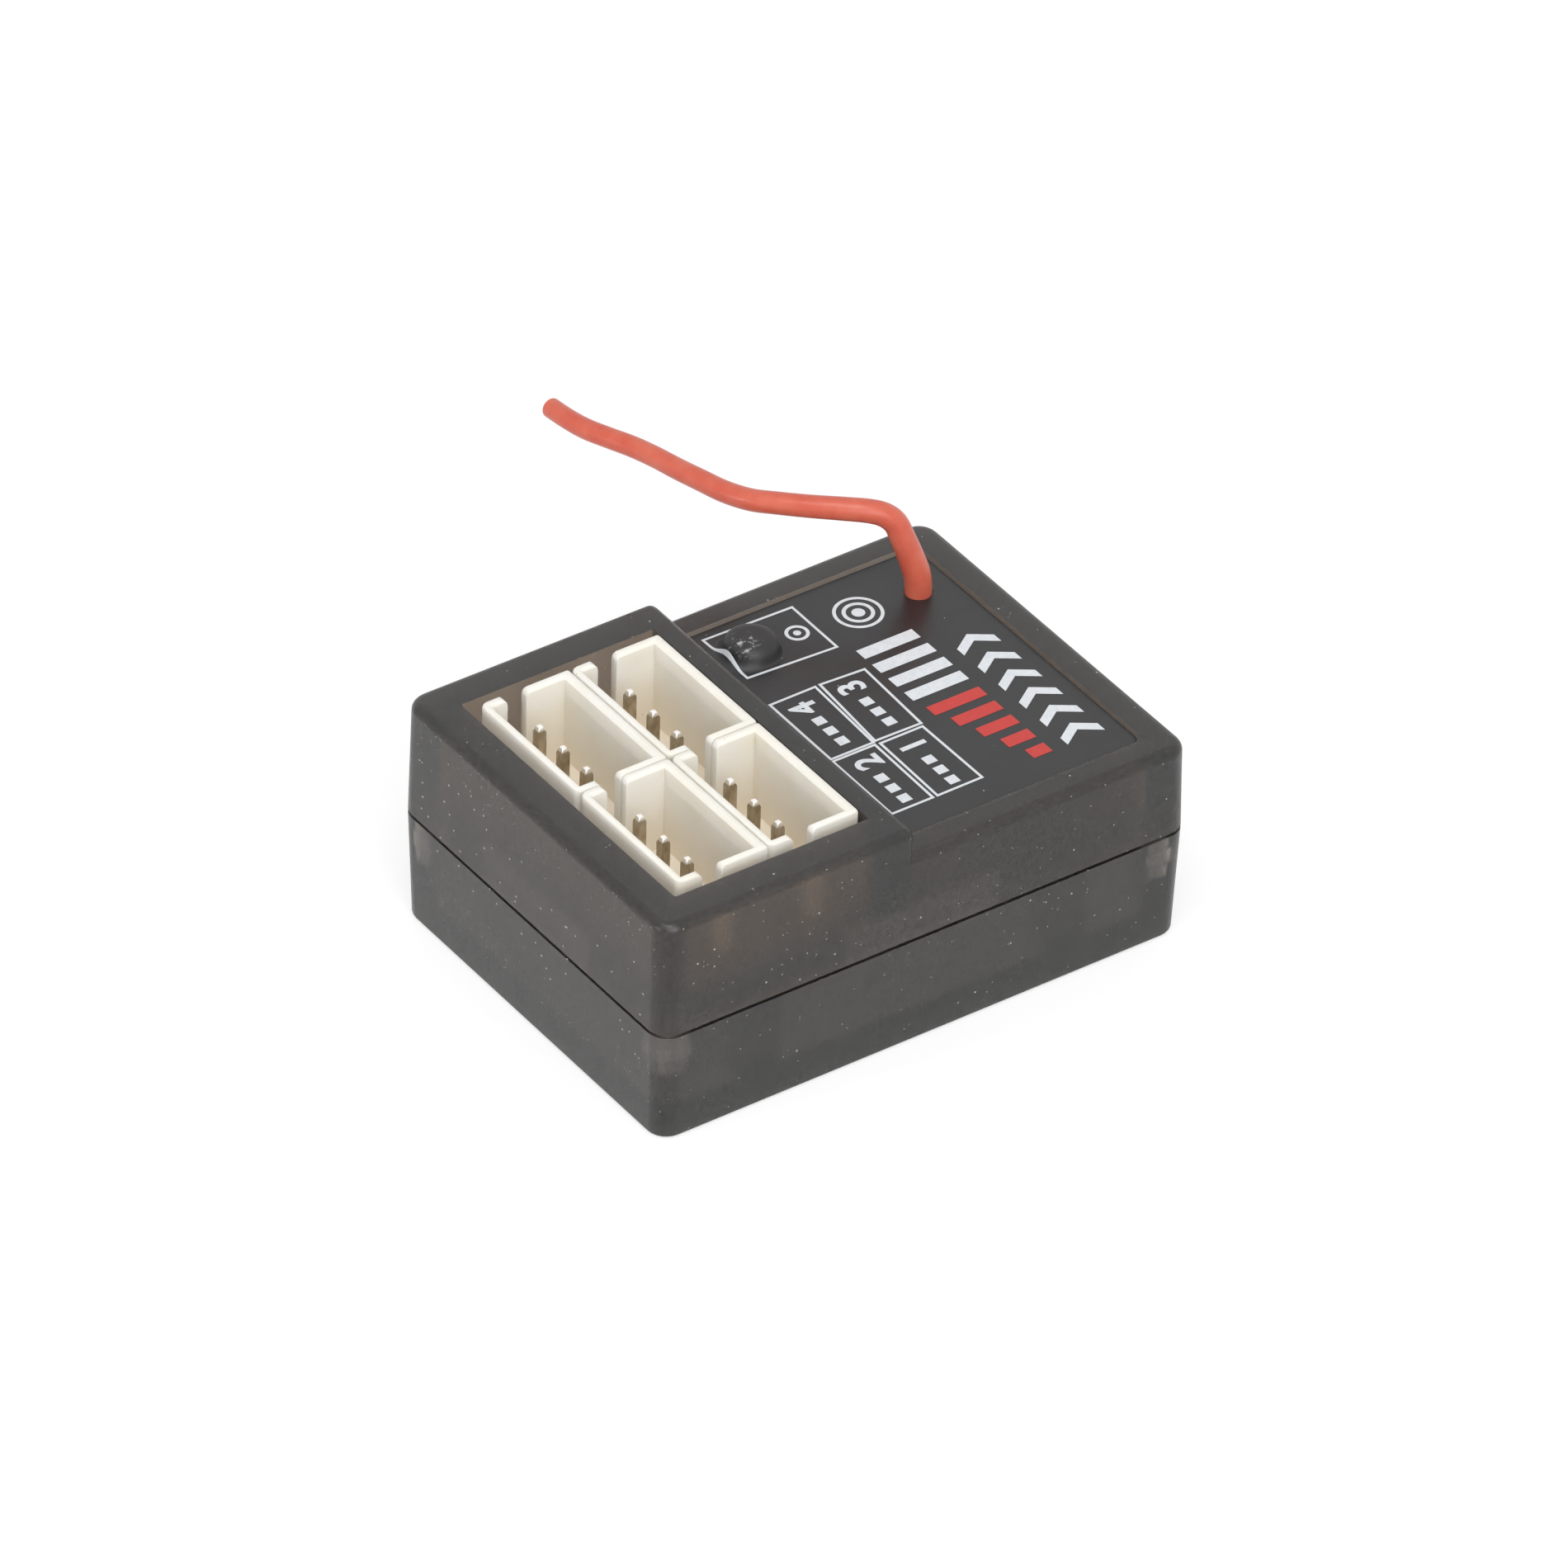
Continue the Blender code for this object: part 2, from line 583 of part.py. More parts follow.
def make_lower_shell(material):
    top = JOINT_HEIGHT - SHADOW_LINE_HEIGHT / 2
    bm = block_mesh(
        (-CASE_LENGTH / 2, -CASE_WIDTH / 2, 0.0), (CASE_LENGTH / 2, CASE_WIDTH / 2, top)
    )
    apply_draft(bm)
    bevel_where(bm, upright, CASE_CORNER_RADIUS, CORNER_SEGMENTS)
    bevel_where(bm, lambda a, b: max(a.z, b.z) < WELD, BOTTOM_EDGE_RADIUS, CASE_EDGE_SEGMENTS)
    add_joint_land(bm, 1)
    shell = add_object("lower_shell", bm, material)
    cut(
        shell,
        block(
            "lower_cavity",
            (-CAVITY_X, -CAVITY_Y, FLOOR),
            (CAVITY_X, CAVITY_Y, JOINT_HEIGHT + CUT_EXTRA),
            corner=CAVITY_CORNER_RADIUS,
        ),
    )
    for number, corner in enumerate(each_corner()):
        cut(shell, *peg(f"pocket_{number}", corner, PEG_CLEARANCE, PEG_CLEARANCE))
    for x_side, y_side in each_corner():
        post = centred_block(
            f"board_post_{x_side}_{y_side}",
            (x_side * POST_FROM_CENTRE, y_side * (CAVITY_Y - POST_REACH / 2 + CUT_EXTRA / 2)),
            (POST_WIDTH, POST_REACH + CUT_EXTRA, BOARD_HEIGHT - SEAT_GAP - FLOOR / 2),
            FLOOR / 2,
        )
        join(shell, post)
    for name, side in SIDES.items():
        join(shell, tongue(f"tongue_{name}", side, 0.0, TONGUE_ROOT, TONGUE_RISE))
    return shell


# The outside of the upper half: a low block whose header end is drawn up to the raised
# level, then drafted and rounded.
def upper_outside():
    bottom = JOINT_HEIGHT + SHADOW_LINE_HEIGHT / 2
    bm = block_mesh(
        (-CASE_LENGTH / 2, -CASE_WIDTH / 2, bottom), (CASE_LENGTH / 2, CASE_WIDTH / 2, LOW_TOP)
    )
    geometry = bm.verts[:] + bm.edges[:] + bm.faces[:]
    bmesh.ops.bisect_plane(bm, geom=geometry, plane_co=(STEP_X, 0, 0), plane_no=(1, 0, 0))
    raised = [
        face
        for face in bm.faces
        if face.normal.z > 0.9 and face.calc_center_median().x < STEP_X
    ]
    draw_out(bm, raised, (0.0, 0.0, STEP_HEIGHT))
    bmesh.ops.dissolve_limit(bm, angle_limit=math.radians(1), verts=bm.verts, edges=bm.edges)
    for vert in bm.verts:
        if abs(vert.co.x - STEP_X) < WELD:
            vert.co.x = STEP_X
    apply_draft(bm)

    def at_step(*points):
        return all(abs(point.x - STEP_X) < WELD for point in points)

    def at_level(height, *points):
        return all(abs(point.z - height) < WELD for point in points)

    def at_rim(a, b):
        if at_step(a, b):
            return upright(a, b) or at_level(RAISED_TOP, a, b)
        return at_level(RAISED_TOP, a, b) or at_level(LOW_TOP, a, b)

    bevel_where(
        bm,
        lambda a, b: upright(a, b) and not at_step(a),
        CASE_CORNER_RADIUS,
        CORNER_SEGMENTS,
    )
    bevel_where(bm, at_rim, TOP_EDGE_RADIUS, CASE_EDGE_SEGMENTS)
    add_joint_land(bm, -1)
    return bm


def make_upper_shell(material):
    shell = add_object("upper_shell", upper_outside(), material)
    cavity_bottom = JOINT_HEIGHT - CUT_EXTRA
    cut(
        shell,
        block(
            "board_cavity",
            (-CAVITY_X, -CAVITY_Y, cavity_bottom),
            (CAVITY_X, CAVITY_Y, FRAME_BOTTOM),
            corner=CAVITY_CORNER_RADIUS,
        ),
        block(
            "label_end_cavity",
            (STEP_X, -CAVITY_Y, cavity_bottom),
            (CAVITY_X, CAVITY_Y, ROOF_UNDERSIDE),
            corner=CAVITY_CORNER_RADIUS,
        ),
        block(
            "window",
            (WINDOW_LEFT, -WINDOW_HALF, cavity_bottom),
            (WINDOW_RIGHT, WINDOW_HALF, RAISED_TOP + CUT_EXTRA),
            corner=WINDOW_CORNER_RADIUS,
        ),
        flat_piece(
            "label_recess",
            label_outline(STEP_X, RECESS_X, RECESS_Y, RECESS_CORNER_RADIUS),
            RECESS_FLOOR,
            LOW_TOP + CUT_EXTRA,
        ),
        cylinder(
            "button_hole", BUTTON_AT, BUTTON_HOLE_RADIUS, ROOF_UNDERSIDE - CUT_EXTRA, LOW_TOP
        ),
        cylinder(
            "aerial_hole",
            AERIAL_AT,
            AERIAL_HOLE_RADIUS,
            ROOF_UNDERSIDE - CUT_EXTRA,
            LOW_TOP,
            steps=2 * SMALL_ROUND_STEPS,
        ),
    )
    for name, side in SIDES.items():
        groove = tongue(
            f"groove_{name}",
            side,
            TONGUE_CLEARANCE,
            TONGUE_ROOT,
            TONGUE_RISE + TONGUE_CLEARANCE,
        )
        cut(shell, groove)
    for number, corner in enumerate(each_corner()):
        join(shell, *peg(f"peg_{number}", corner, 0.0, 0.0))
    return shell


# The film with the dome that the button lifts in it, and the hole for the aerial.
def make_label_film(material):
    film = flat_piece(
        "label_film",
        label_outline(
            STEP_X + FILM_MARGIN,
            RECESS_X - FILM_MARGIN,
            RECESS_Y - FILM_MARGIN,
            RECESS_CORNER_RADIUS - FILM_MARGIN,
        ),
        FILM_BOTTOM,
        FILM_TOP,
        material,
    )
    overlap = FILM_THICKNESS / 2
    foot = FILM_DOME_FOOT_RADIUS
    top = FILM_DOME_TOP_RADIUS
    outer_edge = arc(
        (top - FILM_DOME_EDGE, FILM_DOME_TOP - FILM_DOME_EDGE),
        FILM_DOME_EDGE,
        math.pi / 2,
        0.15,
        EDGE_SEGMENTS,
    )
    dome = turned(
        "film_dome",
        BUTTON_AT,
        [
            (0.0, FILM_DOME_TOP),
            *outer_edge,
            (foot, FILM_TOP),
            (foot + overlap, FILM_TOP - overlap),
            (foot, FILM_BOTTOM),
            (foot - FILM_THICKNESS, FILM_BOTTOM),
            (top - FILM_THICKNESS, FILM_DOME_TOP - FILM_DOME_EDGE - FILM_THICKNESS / 2),
            (top - FILM_DOME_EDGE, FILM_DOME_TOP - FILM_THICKNESS),
            (0.0, FILM_DOME_TOP - FILM_THICKNESS),
        ],
    )
    cut(
        film,
        cylinder(
            "film_dome_opening", BUTTON_AT, foot - overlap, FILM_BOTTOM - CUT_EXTRA, LOW_TOP
        ),
        cylinder(
            "film_aerial_opening",
            AERIAL_AT,
            AERIAL_RADIUS + FILM_MARGIN / 2,
            FILM_BOTTOM - CUT_EXTRA,
            LOW_TOP,
            steps=2 * SMALL_ROUND_STEPS,
        ),
    )
    join(film, dome)
    return film


# Each channel's header: its place among the four, counted in rows along X and Y.
CHANNELS = {1: (1, 0), 2: (0, 0), 3: (1, 1), 4: (0, 1)}


def header_origin(channel):
    column, row = CHANNELS[channel]
    x = HEADER_LEFT + column * (HEADER_WIDTH + HEADER_GAP)
    y = (row - 0.5) * (HEADER_LENGTH + HEADER_GAP)
    return x, y


def pin_places(channel):
    x, y = header_origin(channel)
    pin_x = x + PIN_FROM_THIN_SIDE
    return [(pin_x, y + step * PIN_PITCH) for step in (1, 0, -1)]


# The open slot in both end walls, in line with the pins: a side view swept along Y.
# Its edges are rounded over at the rim: the flare by the thick wall, the ease by the
# thin one.
def slot_cutter(name, x, y):
    left = x + SLOT_FROM_THIN_SIDE
    right = left + SLOT_WIDTH
    bottom = HEADER_TOP - SLOT_DEPTH
    above = HEADER_TOP + CUT_EXTRA
    flare_centre = (right + SLOT_FLARE, HEADER_TOP - SLOT_FLARE)
    ease_centre = (left - SLOT_EASE, HEADER_TOP - SLOT_EASE)
    quarter = math.pi / 2
    outline = [
        (left, bottom),
        (right, bottom),
        *arc(flare_centre, SLOT_FLARE, math.pi, quarter, EDGE_SEGMENTS),
        (right + SLOT_FLARE, above),
        (left - SLOT_EASE, above),
        *arc(ease_centre, SLOT_EASE, quarter, 0.0, EDGE_SEGMENTS),
    ]
    stand_up = Matrix.Rotation(math.pi / 2, 4, "X")
    reach = HEADER_LENGTH / 2 + CUT_EXTRA
    return flat_piece(name, outline, -y - reach, -y + reach, turn=stand_up)


# The outside of a header: well rounded corners along its thin wall, sharper ones along
# the thick wall, and a narrow rounding round the rim.
def header_outside(x, y):
    half = HEADER_LENGTH / 2
    bm = block_mesh((x, y - half, HEADER_BOTTOM), (x + HEADER_WIDTH, y + half, HEADER_TOP))

    def at_thin_wall(a, b):
        return upright(a, b) and a.x < x + THIN_WALL

    def at_thick_wall(a, b):
        return upright(a, b) and a.x > x + HEADER_WIDTH - THICK_WALL

    def at_rim(a, b):
        return min(a.z, b.z) > HEADER_TOP - WELD

    bevel_where(bm, at_thin_wall, HEADER_CORNER_RADIUS, EDGE_SEGMENTS)
    bevel_where(bm, at_thick_wall, HEADER_SHARP_RADIUS, EDGE_SEGMENTS)
    bevel_where(bm, at_rim, HEADER_TOP_EDGE, EDGE_SEGMENTS - 1)
    return bm


# What is cut out for the plug: a block that widens at the rim, which chamfers the rim's
# inner edge.
def socket_cutter(name, x, y):
    half = HEADER_LENGTH / 2 - END_WALL
    left = x + THIN_WALL
    right = x + HEADER_WIDTH - THICK_WALL
    chamfer_foot = HEADER_TOP - HEADER_TOP_EDGE
    bm = block_mesh((left, y - half, HEADER_BOTTOM + HEADER_FLOOR), (right, y + half, chamfer_foot))
    rim = [face for face in bm.faces if face.normal.z > 0.9]
    draw_out(bm, rim, (0.0, 0.0, HEADER_TOP_EDGE + CUT_EXTRA))
    for vert in bm.verts:
        widening = max(0.0, vert.co.z - chamfer_foot)
        vert.co.x += math.copysign(widening, vert.co.x - (left + right) / 2)
        vert.co.y += math.copysign(widening, vert.co.y - y)
    return add_object(name, bm)


def make_header(channel, material):
    x, y = header_origin(channel)
    header = add_object(f"channel_{channel}_header", header_outside(x, y), material)
    cut(
        header,
        socket_cutter(f"channel_{channel}_socket", x, y),
        slot_cutter(f"channel_{channel}_slot", x, y),
    )
    hole = PIN_SIZE + 2 * PIN_CLEARANCE
    for number, place in enumerate(pin_places(channel)):
        cut(
            header,
            centred_block(
                f"channel_{channel}_pin_hole_{number}",
                place,
                (hole, hole, HEADER_HEIGHT),
                HEADER_BOTTOM - HEADER_HEIGHT / 2,
            ),
        )
    return header


# A square pin with both ends tapered to a blunt tip: four squares joined by sides.
def make_pin(name, place, material):
    top = HEADER_TOP - PIN_BELOW_RIM
    bottom = BOARD_HEIGHT - PIN_TAIL
    half = PIN_SIZE / 2
    tip = half - PIN_TIP
    levels = ((bottom, tip), (bottom + PIN_TAPER, half), (top - PIN_TAPER, half), (top, tip))
    bm = bmesh.new()
    squares = []
    for height, reach in levels:
        corners = ((-reach, -reach), (reach, -reach), (reach, reach), (-reach, reach))
        square = [bm.verts.new((place[0] + x, place[1] + y, height)) for x, y in corners]
        squares.append(square)
    bm.faces.new(reversed(squares[0]))
    bm.faces.new(squares[-1])
    for low, high in zip(squares, squares[1:]):
        for here, after in ((0, 1), (1, 2), (2, 3), (3, 0)):
            bm.faces.new((low[here], low[after], high[after], high[here]))
    return add_object(name, bm, material)


def make_board(material):
    half_x = CAVITY_X - BOARD_CLEARANCE
    half_y = CAVITY_Y - BOARD_CLEARANCE
    board = block(
        "circuit_board",
        (-half_x, -half_y, BOARD_HEIGHT),
        (half_x, half_y, BOARD_TOP),
        material,
        corner=BOARD_CORNER_RADIUS,
        corner_segments=CORNER_SEGMENTS,
    )
    for channel in CHANNELS:
        for number, place in enumerate(pin_places(channel)):
            cut(
                board,
                cylinder(
                    f"board_hole_{channel}_{number}",
                    place,
                    PIN_HOLE_RADIUS,
                    BOARD_HEIGHT - CUT_EXTRA,
                    BOARD_TOP + CUT_EXTRA,
                    steps=SMALL_ROUND_STEPS,
                ),
            )
    return board


def make_bind_switch(plastic, metal, contact_metal):
    body = centred_block(
        "bind_switch_body",
        BUTTON_AT,
        (SWITCH_SIZE, SWITCH_SIZE, SWITCH_HEIGHT),
        SWITCH_BOTTOM,
        plastic,
        corner=SWITCH_EDGE,
        corner_segments=1,
    )
    cut(
        body,
        cylinder(
            "switch_well",
            BUTTON_AT,
            SWITCH_WELL_RADIUS,
            SNAP_DOME_FOOT - SEAT_GAP,
            SWITCH_TOP + CUT_EXTRA,
        ),
    )
    cover = centred_block(
        "bind_switch_cover",
        BUTTON_AT,
        (SWITCH_SIZE, SWITCH_SIZE, COVER_THICKNESS),
        SWITCH_TOP + SEAT_GAP,
        metal,
        corner=SWITCH_EDGE,
        corner_segments=1,
    )
    cut(
        cover,
        cylinder(
            "cover_hole",
            BUTTON_AT,
            COVER_HOLE_RADIUS,
            SWITCH_TOP - CUT_EXTRA,
            COVER_TOP + CUT_EXTRA,
        ),
    )
    make_snap_dome(metal)
    for name, sign in (("near", -1), ("far", 1)):
        length = SWITCH_SIZE + 2 * CONTACT_REACH
        centred_block(
            f"bind_switch_{name}_contact",
            (BUTTON_AT[0], BUTTON_AT[1] + sign * CONTACT_FROM_CENTRE),
            (length, CONTACT_WIDTH, CONTACT_THICKNESS),
            BOARD_TOP + SEAT_GAP,
            contact_metal,
        )


# The shallow spring disc that the button snaps through: a sphere's cap of even thickness.
def make_snap_dome(material):
    radius = (SNAP_DOME_RADIUS**2 + SNAP_DOME_RISE**2) / (2 * SNAP_DOME_RISE)
    centre = SNAP_DOME_FOOT + SNAP_DOME_RISE - radius
    outer_radius = radius + SNAP_DOME_THICKNESS
    spread = math.asin(SNAP_DOME_RADIUS / radius)
    middle = math.pi / 2
    outer = arc((0.0, centre), outer_radius, middle, middle - spread, CORNER_SEGMENTS)
    inner = arc((0.0, centre), radius, middle - spread, middle, CORNER_SEGMENTS)
    profile = [(abs(r), z) for r, z in outer + inner]
    profile[0] = (0.0, profile[0][1])
    profile[-1] = (0.0, profile[-1][1])
    return turned("bind_switch_dome", BUTTON_AT, profile, material)


# The push button: a stem with a rounded end, and a flange that rests on the snap dome
# and that the cover holds back. Its origin is on the line that it slides along.
def make_bind_button(material):
    flange_top = SWITCH_TOP
    stem = [
        (0.0, BUTTON_TOP),
        *arc(
            (BUTTON_RADIUS - BUTTON_EDGE, BUTTON_TOP - BUTTON_EDGE),
            BUTTON_EDGE,
            math.pi / 2,
            0.0,
            EDGE_SEGMENTS,
        ),
        (BUTTON_RADIUS, flange_top),
        (FLANGE_RADIUS, flange_top),
        (FLANGE_RADIUS, flange_top - FLANGE_THICKNESS),
        (0.0, flange_top - FLANGE_THICKNESS),
    ]
    return turned("bind_button", BUTTON_AT, stem, material)


def catmull_rom(points, steps):
    padded = [points[0], *points, points[-1]]
    smooth = []
    for a, b, c, d in zip(padded, padded[1:], padded[2:], padded[3:]):
        for step in range(steps):
            t = step / steps
            smooth.append(
                (
                    b * 2
                    + (c - a) * t
                    + (a * 2 - b * 5 + c * 4 - d) * t**2
                    + (b * 3 - a - c * 3 + d) * t**3
                )
                / 2
            )
    return [*smooth, points[-1]]


def make_aerial(insulation, metal, solder):
    foot = Vector((*AERIAL_AT, RECESS_FLOOR, 0.0))
    route = []
    for x, y, z, share in AERIAL_ROUTE:
        route.append(Vector((x * ROUTE_UNIT, y * ROUTE_UNIT, z * ROUTE_UNIT, share)) + foot)
    start = BOARD_TOP + SEAT_GAP + AERIAL_STRIPPED
    route[0].z = start
    curve = bpy.data.curves.new("aerial_insulation", "CURVE")
    curve.dimensions = "3D"
    curve.bevel_depth = AERIAL_RADIUS
    curve.bevel_resolution = AERIAL_RESOLUTION
    curve.use_fill_caps = True
    spline = curve.splines.new("POLY")
    smooth = catmull_rom(route, ROUTE_STEPS)
    tip = rounded_tip(smooth[-1], smooth[-2])
    smooth = [*smooth[:-2], *tip]
    spline.points.add(len(smooth) - 1)
    for point, place in zip(spline.points, smooth):
        point.co = (*place.xyz, 1.0)
        point.radius = place.w
    curve_to_mesh("aerial_insulation", curve, insulation)
    core_bottom = BOARD_TOP + SEAT_GAP + SOLDER_HEIGHT / 2
    core = cylinder(
        "aerial_core",
        AERIAL_AT,
        AERIAL_CORE_RADIUS,
        core_bottom,
        start - SEAT_GAP,
        metal,
        steps=SMALL_ROUND_STEPS,
    )
    joint = cylinder(
        "aerial_solder",
        AERIAL_AT,
        SOLDER_RADIUS,
        BOARD_TOP + SEAT_GAP,
        BOARD_TOP + SEAT_GAP + SOLDER_HEIGHT,
        solder,
        steps=2 * SMALL_ROUND_STEPS,
        top_radius=SOLDER_RADIUS / 2,
    )
    cut(
        joint,
        cylinder(
            "core_seat",
            AERIAL_AT,
            AERIAL_CORE_RADIUS + PIN_CLEARANCE,
            core_bottom - SEAT_GAP,
            start,
            steps=SMALL_ROUND_STEPS,
        ),
    )
    return core


# The last points of the wire, where its section draws in to a rounded end.
def rounded_tip(end, before):
    heading = (end - before).xyz.normalized()
    radius = AERIAL_RADIUS * end.w
    points = []
    for step in range(EDGE_SEGMENTS + 1):
        angle = math.pi / 2 * step / (EDGE_SEGMENTS + 0.6)
        place = end.xyz + heading * radius * (math.sin(angle) - 1)
        points.append(Vector((*place, end.w * math.cos(angle))))
    return points


# A small two-terminal part: a body with a metal band round each end, as one solid.
def make_small_part(name, spec, under, material):
    length, width, height = spec["size"]
    gap = SEAT_GAP + TERMINAL_PROUD
    bottom = BOARD_HEIGHT - gap - height if under else BOARD_TOP + gap
    body = centred_block(name, spec["at"], (length, width, height), bottom, material)
    along_x = length >= width
    longest = max(length, width)
    band = longest * TERMINAL_SHARE
    for sign in (-1, 1):
        shift = sign * (longest / 2 - band / 2 + TERMINAL_PROUD)
        centre = (
            spec["at"][0] + (shift if along_x else 0.0),
            spec["at"][1] + (0.0 if along_x else shift),
        )
        size = (
            band if along_x else length + 2 * TERMINAL_PROUD,
            width + 2 * TERMINAL_PROUD if along_x else band,
            height + 2 * TERMINAL_PROUD,
        )
        join(body, centred_block(f"{name}_end_{sign}", centre, size, bottom - TERMINAL_PROUD))
    return body


def make_chip(name, spec, under, material):
    height = spec["size"][2]
    bottom = BOARD_HEIGHT - SEAT_GAP - height if under else BOARD_TOP + SEAT_GAP
    return centred_block(
        name, spec["at"], spec["size"], bottom, material, corner=CHIP_EDGE, corner_segments=1
    )


# A leg of the microcontroller: out of its side, down and along the board, as one strip.
def leg_outline(side, body_half, middle, foot):
    half = LEG_THICKNESS / 2
    knee = body_half + LEG_REACH - LEG_FOOT
    end = body_half + LEG_REACH
    inside = body_half - LEG_FOOT
    points = [
        (inside, middle + half),
        (inside, middle - half),
        (knee + half, middle - half),
        (knee + half, foot - 2 * half),
        (end, foot - 2 * half),
        (end, foot),
        (knee - half, foot),
        (knee - half, middle + half),
    ]
    return [(side * across, height) for across, height in points]


def make_controller(material):
    spec = CONTROLLER
    width, _, height = spec["size"]
    foot_level = BOARD_HEIGHT - SEAT_GAP
    stand_off = LEG_THICKNESS
    bottom = foot_level - stand_off - height
    body = centred_block(
        "microcontroller", spec["at"], spec["size"], bottom, material, corner=CHIP_EDGE
    )
    stand_up = Matrix.Rotation(math.pi / 2, 4, "X")
    move = Matrix.Translation((spec["at"][0], 0.0, 0.0))
    for side in (-1, 1):
        for number in range(LEG_COUNT):
            y = spec["at"][1] + (number - (LEG_COUNT - 1) / 2) * LEG_PITCH
            leg = flat_piece(
                f"leg_{side}_{number}",
                leg_outline(side, width / 2, bottom + height / 2, foot_level),
                -y - LEG_WIDTH / 2,
                -y + LEG_WIDTH / 2,
                turn=move @ stand_up,
            )
            join(body, leg)
    return body


# The regulator has a wide tab on one side and three short legs on the other.
def make_regulator(material):
    spec = REGULATOR
    length, width, height = spec["size"]
    bottom = BOARD_TOP + SEAT_GAP
    body = centred_block(
        "voltage_regulator", spec["at"], spec["size"], bottom, material, corner=CHIP_EDGE
    )
    x, y = spec["at"]
    tab_y = y + width / 2 + REGULATOR_TAB_REACH / 2 - CHIP_EDGE
    tab_size = (REGULATOR_TAB_WIDTH, REGULATOR_TAB_REACH, REGULATOR_TAB_THICKNESS)
    join(body, centred_block("regulator_tab", (x, tab_y), tab_size, bottom))
    for step in (-1, 0, 1):
        leg_size = (LEG_FOOT, REGULATOR_TAB_REACH, REGULATOR_TAB_THICKNESS)
        centre = (x + step * length / 3, y - width / 2 - REGULATOR_TAB_REACH / 2 + CHIP_EDGE)
        join(body, centred_block(f"regulator_leg_{step}", centre, leg_size, bottom))
    return body


def main():
    smoke = new_material("smoke_plastic", (0.075, 0.073, 0.070), 0.38, alpha=0.72)
    film = new_material("label_film", (0.055, 0.058, 0.062), 0.18)
    ivory = new_material("header_nylon", (0.80, 0.77, 0.70), 0.45)
    tinned = new_material("tinned_pin", (0.52, 0.50, 0.46), 0.3, metallic=1.0)
    board_green = new_material("board_green", (0.03, 0.16, 0.08), 0.35)
    red = new_material("aerial_red", (0.72, 0.12, 0.07), 0.35)
    copper = new_material("tinned_copper", (0.75, 0.55, 0.42), 0.35, metallic=1.0)
    solder = new_material("solder", (0.62, 0.62, 0.62), 0.3, metallic=1.0)
    steel = new_material("spring_steel", (0.60, 0.60, 0.60), 0.28, metallic=1.0)
    black = new_material("switch_black", (0.02, 0.02, 0.02), 0.5)
    button = new_material("button_black", (0.03, 0.03, 0.03), 0.5)
    chip = new_material("chip_black", (0.025, 0.025, 0.028), 0.55)
    can = new_material("crystal_can", (0.66, 0.65, 0.62), 0.3, metallic=1.0)
    ceramic = new_material("capacitor_ceramic", (0.45, 0.33, 0.20), 0.5)
    tantalum = new_material("capacitor_yellow", (0.72, 0.52, 0.08), 0.45)
    resistor = new_material("resistor_black", (0.03, 0.03, 0.03), 0.45)
    light = new_material("light_red", (0.75, 0.08, 0.06), 0.25)

    make_lower_shell(smoke)
    make_upper_shell(smoke.copy())
    make_label_film(film)
    make_board(board_green)
    for channel in CHANNELS:
        make_header(channel, ivory)
        names = ("signal", "positive", "negative")
        for pin_name, place in zip(names, pin_places(channel)):
            make_pin(f"channel_{channel}_{pin_name}_pin", place, tinned)
    make_bind_switch(black, steel, tinned)
    make_bind_button(button)
    make_aerial(red, copper, solder)
    make_controller(chip)
    make_regulator(chip.copy())
    make_chip("radio_chip", RADIO_CHIP, True, chip.copy())
    make_chip("crystal", CRYSTAL, True, can)
    make_small_part("input_capacitor", INPUT_CAPACITOR, False, tantalum)
    make_small_part("output_capacitor", OUTPUT_CAPACITOR, False, ceramic)
    make_small_part("matching_capacitor", MATCHING_CAPACITOR, False, ceramic)
    make_small_part("filter_capacitor", FILTER_CAPACITOR, True, ceramic)
    make_small_part("light_resistor", LIGHT_RESISTOR, False, resistor)
    make_small_part("pull_up_resistor", PULL_UP_RESISTOR, True, resistor)
    make_small_part("status_light", STATUS_LIGHT, False, light)


clear_scene()
parts = new_collection("rc_receiver")
helpers = new_collection("cutters")
main()
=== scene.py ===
import math

import bmesh
import bpy
from mathutils import Matrix, Vector


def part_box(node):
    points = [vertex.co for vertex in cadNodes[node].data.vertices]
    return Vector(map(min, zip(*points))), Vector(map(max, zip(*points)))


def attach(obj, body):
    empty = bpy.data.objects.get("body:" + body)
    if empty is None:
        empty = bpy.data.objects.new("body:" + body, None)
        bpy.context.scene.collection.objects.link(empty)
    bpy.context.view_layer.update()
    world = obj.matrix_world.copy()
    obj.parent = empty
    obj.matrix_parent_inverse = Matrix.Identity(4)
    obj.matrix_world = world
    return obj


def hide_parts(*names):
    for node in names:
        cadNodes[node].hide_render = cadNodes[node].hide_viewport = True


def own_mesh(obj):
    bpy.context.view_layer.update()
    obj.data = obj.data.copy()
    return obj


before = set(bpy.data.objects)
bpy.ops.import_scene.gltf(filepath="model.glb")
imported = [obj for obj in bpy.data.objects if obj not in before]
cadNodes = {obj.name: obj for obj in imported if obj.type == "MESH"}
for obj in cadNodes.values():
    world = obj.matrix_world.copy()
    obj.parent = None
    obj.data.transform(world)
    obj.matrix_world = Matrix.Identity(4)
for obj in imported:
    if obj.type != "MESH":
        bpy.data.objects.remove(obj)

print("receiver: frame loaded")
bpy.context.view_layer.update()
mm = 0.001


# Colours are written as they look on a screen, each from 0 to 255
def screenColour(colour):
    shares = [value / 255 for value in colour]
    return [s / 12.92 if s <= 0.04045 else ((s + 0.055) / 1.055) ** 2.4 for s in shares]


# Small helpers for the material nodes

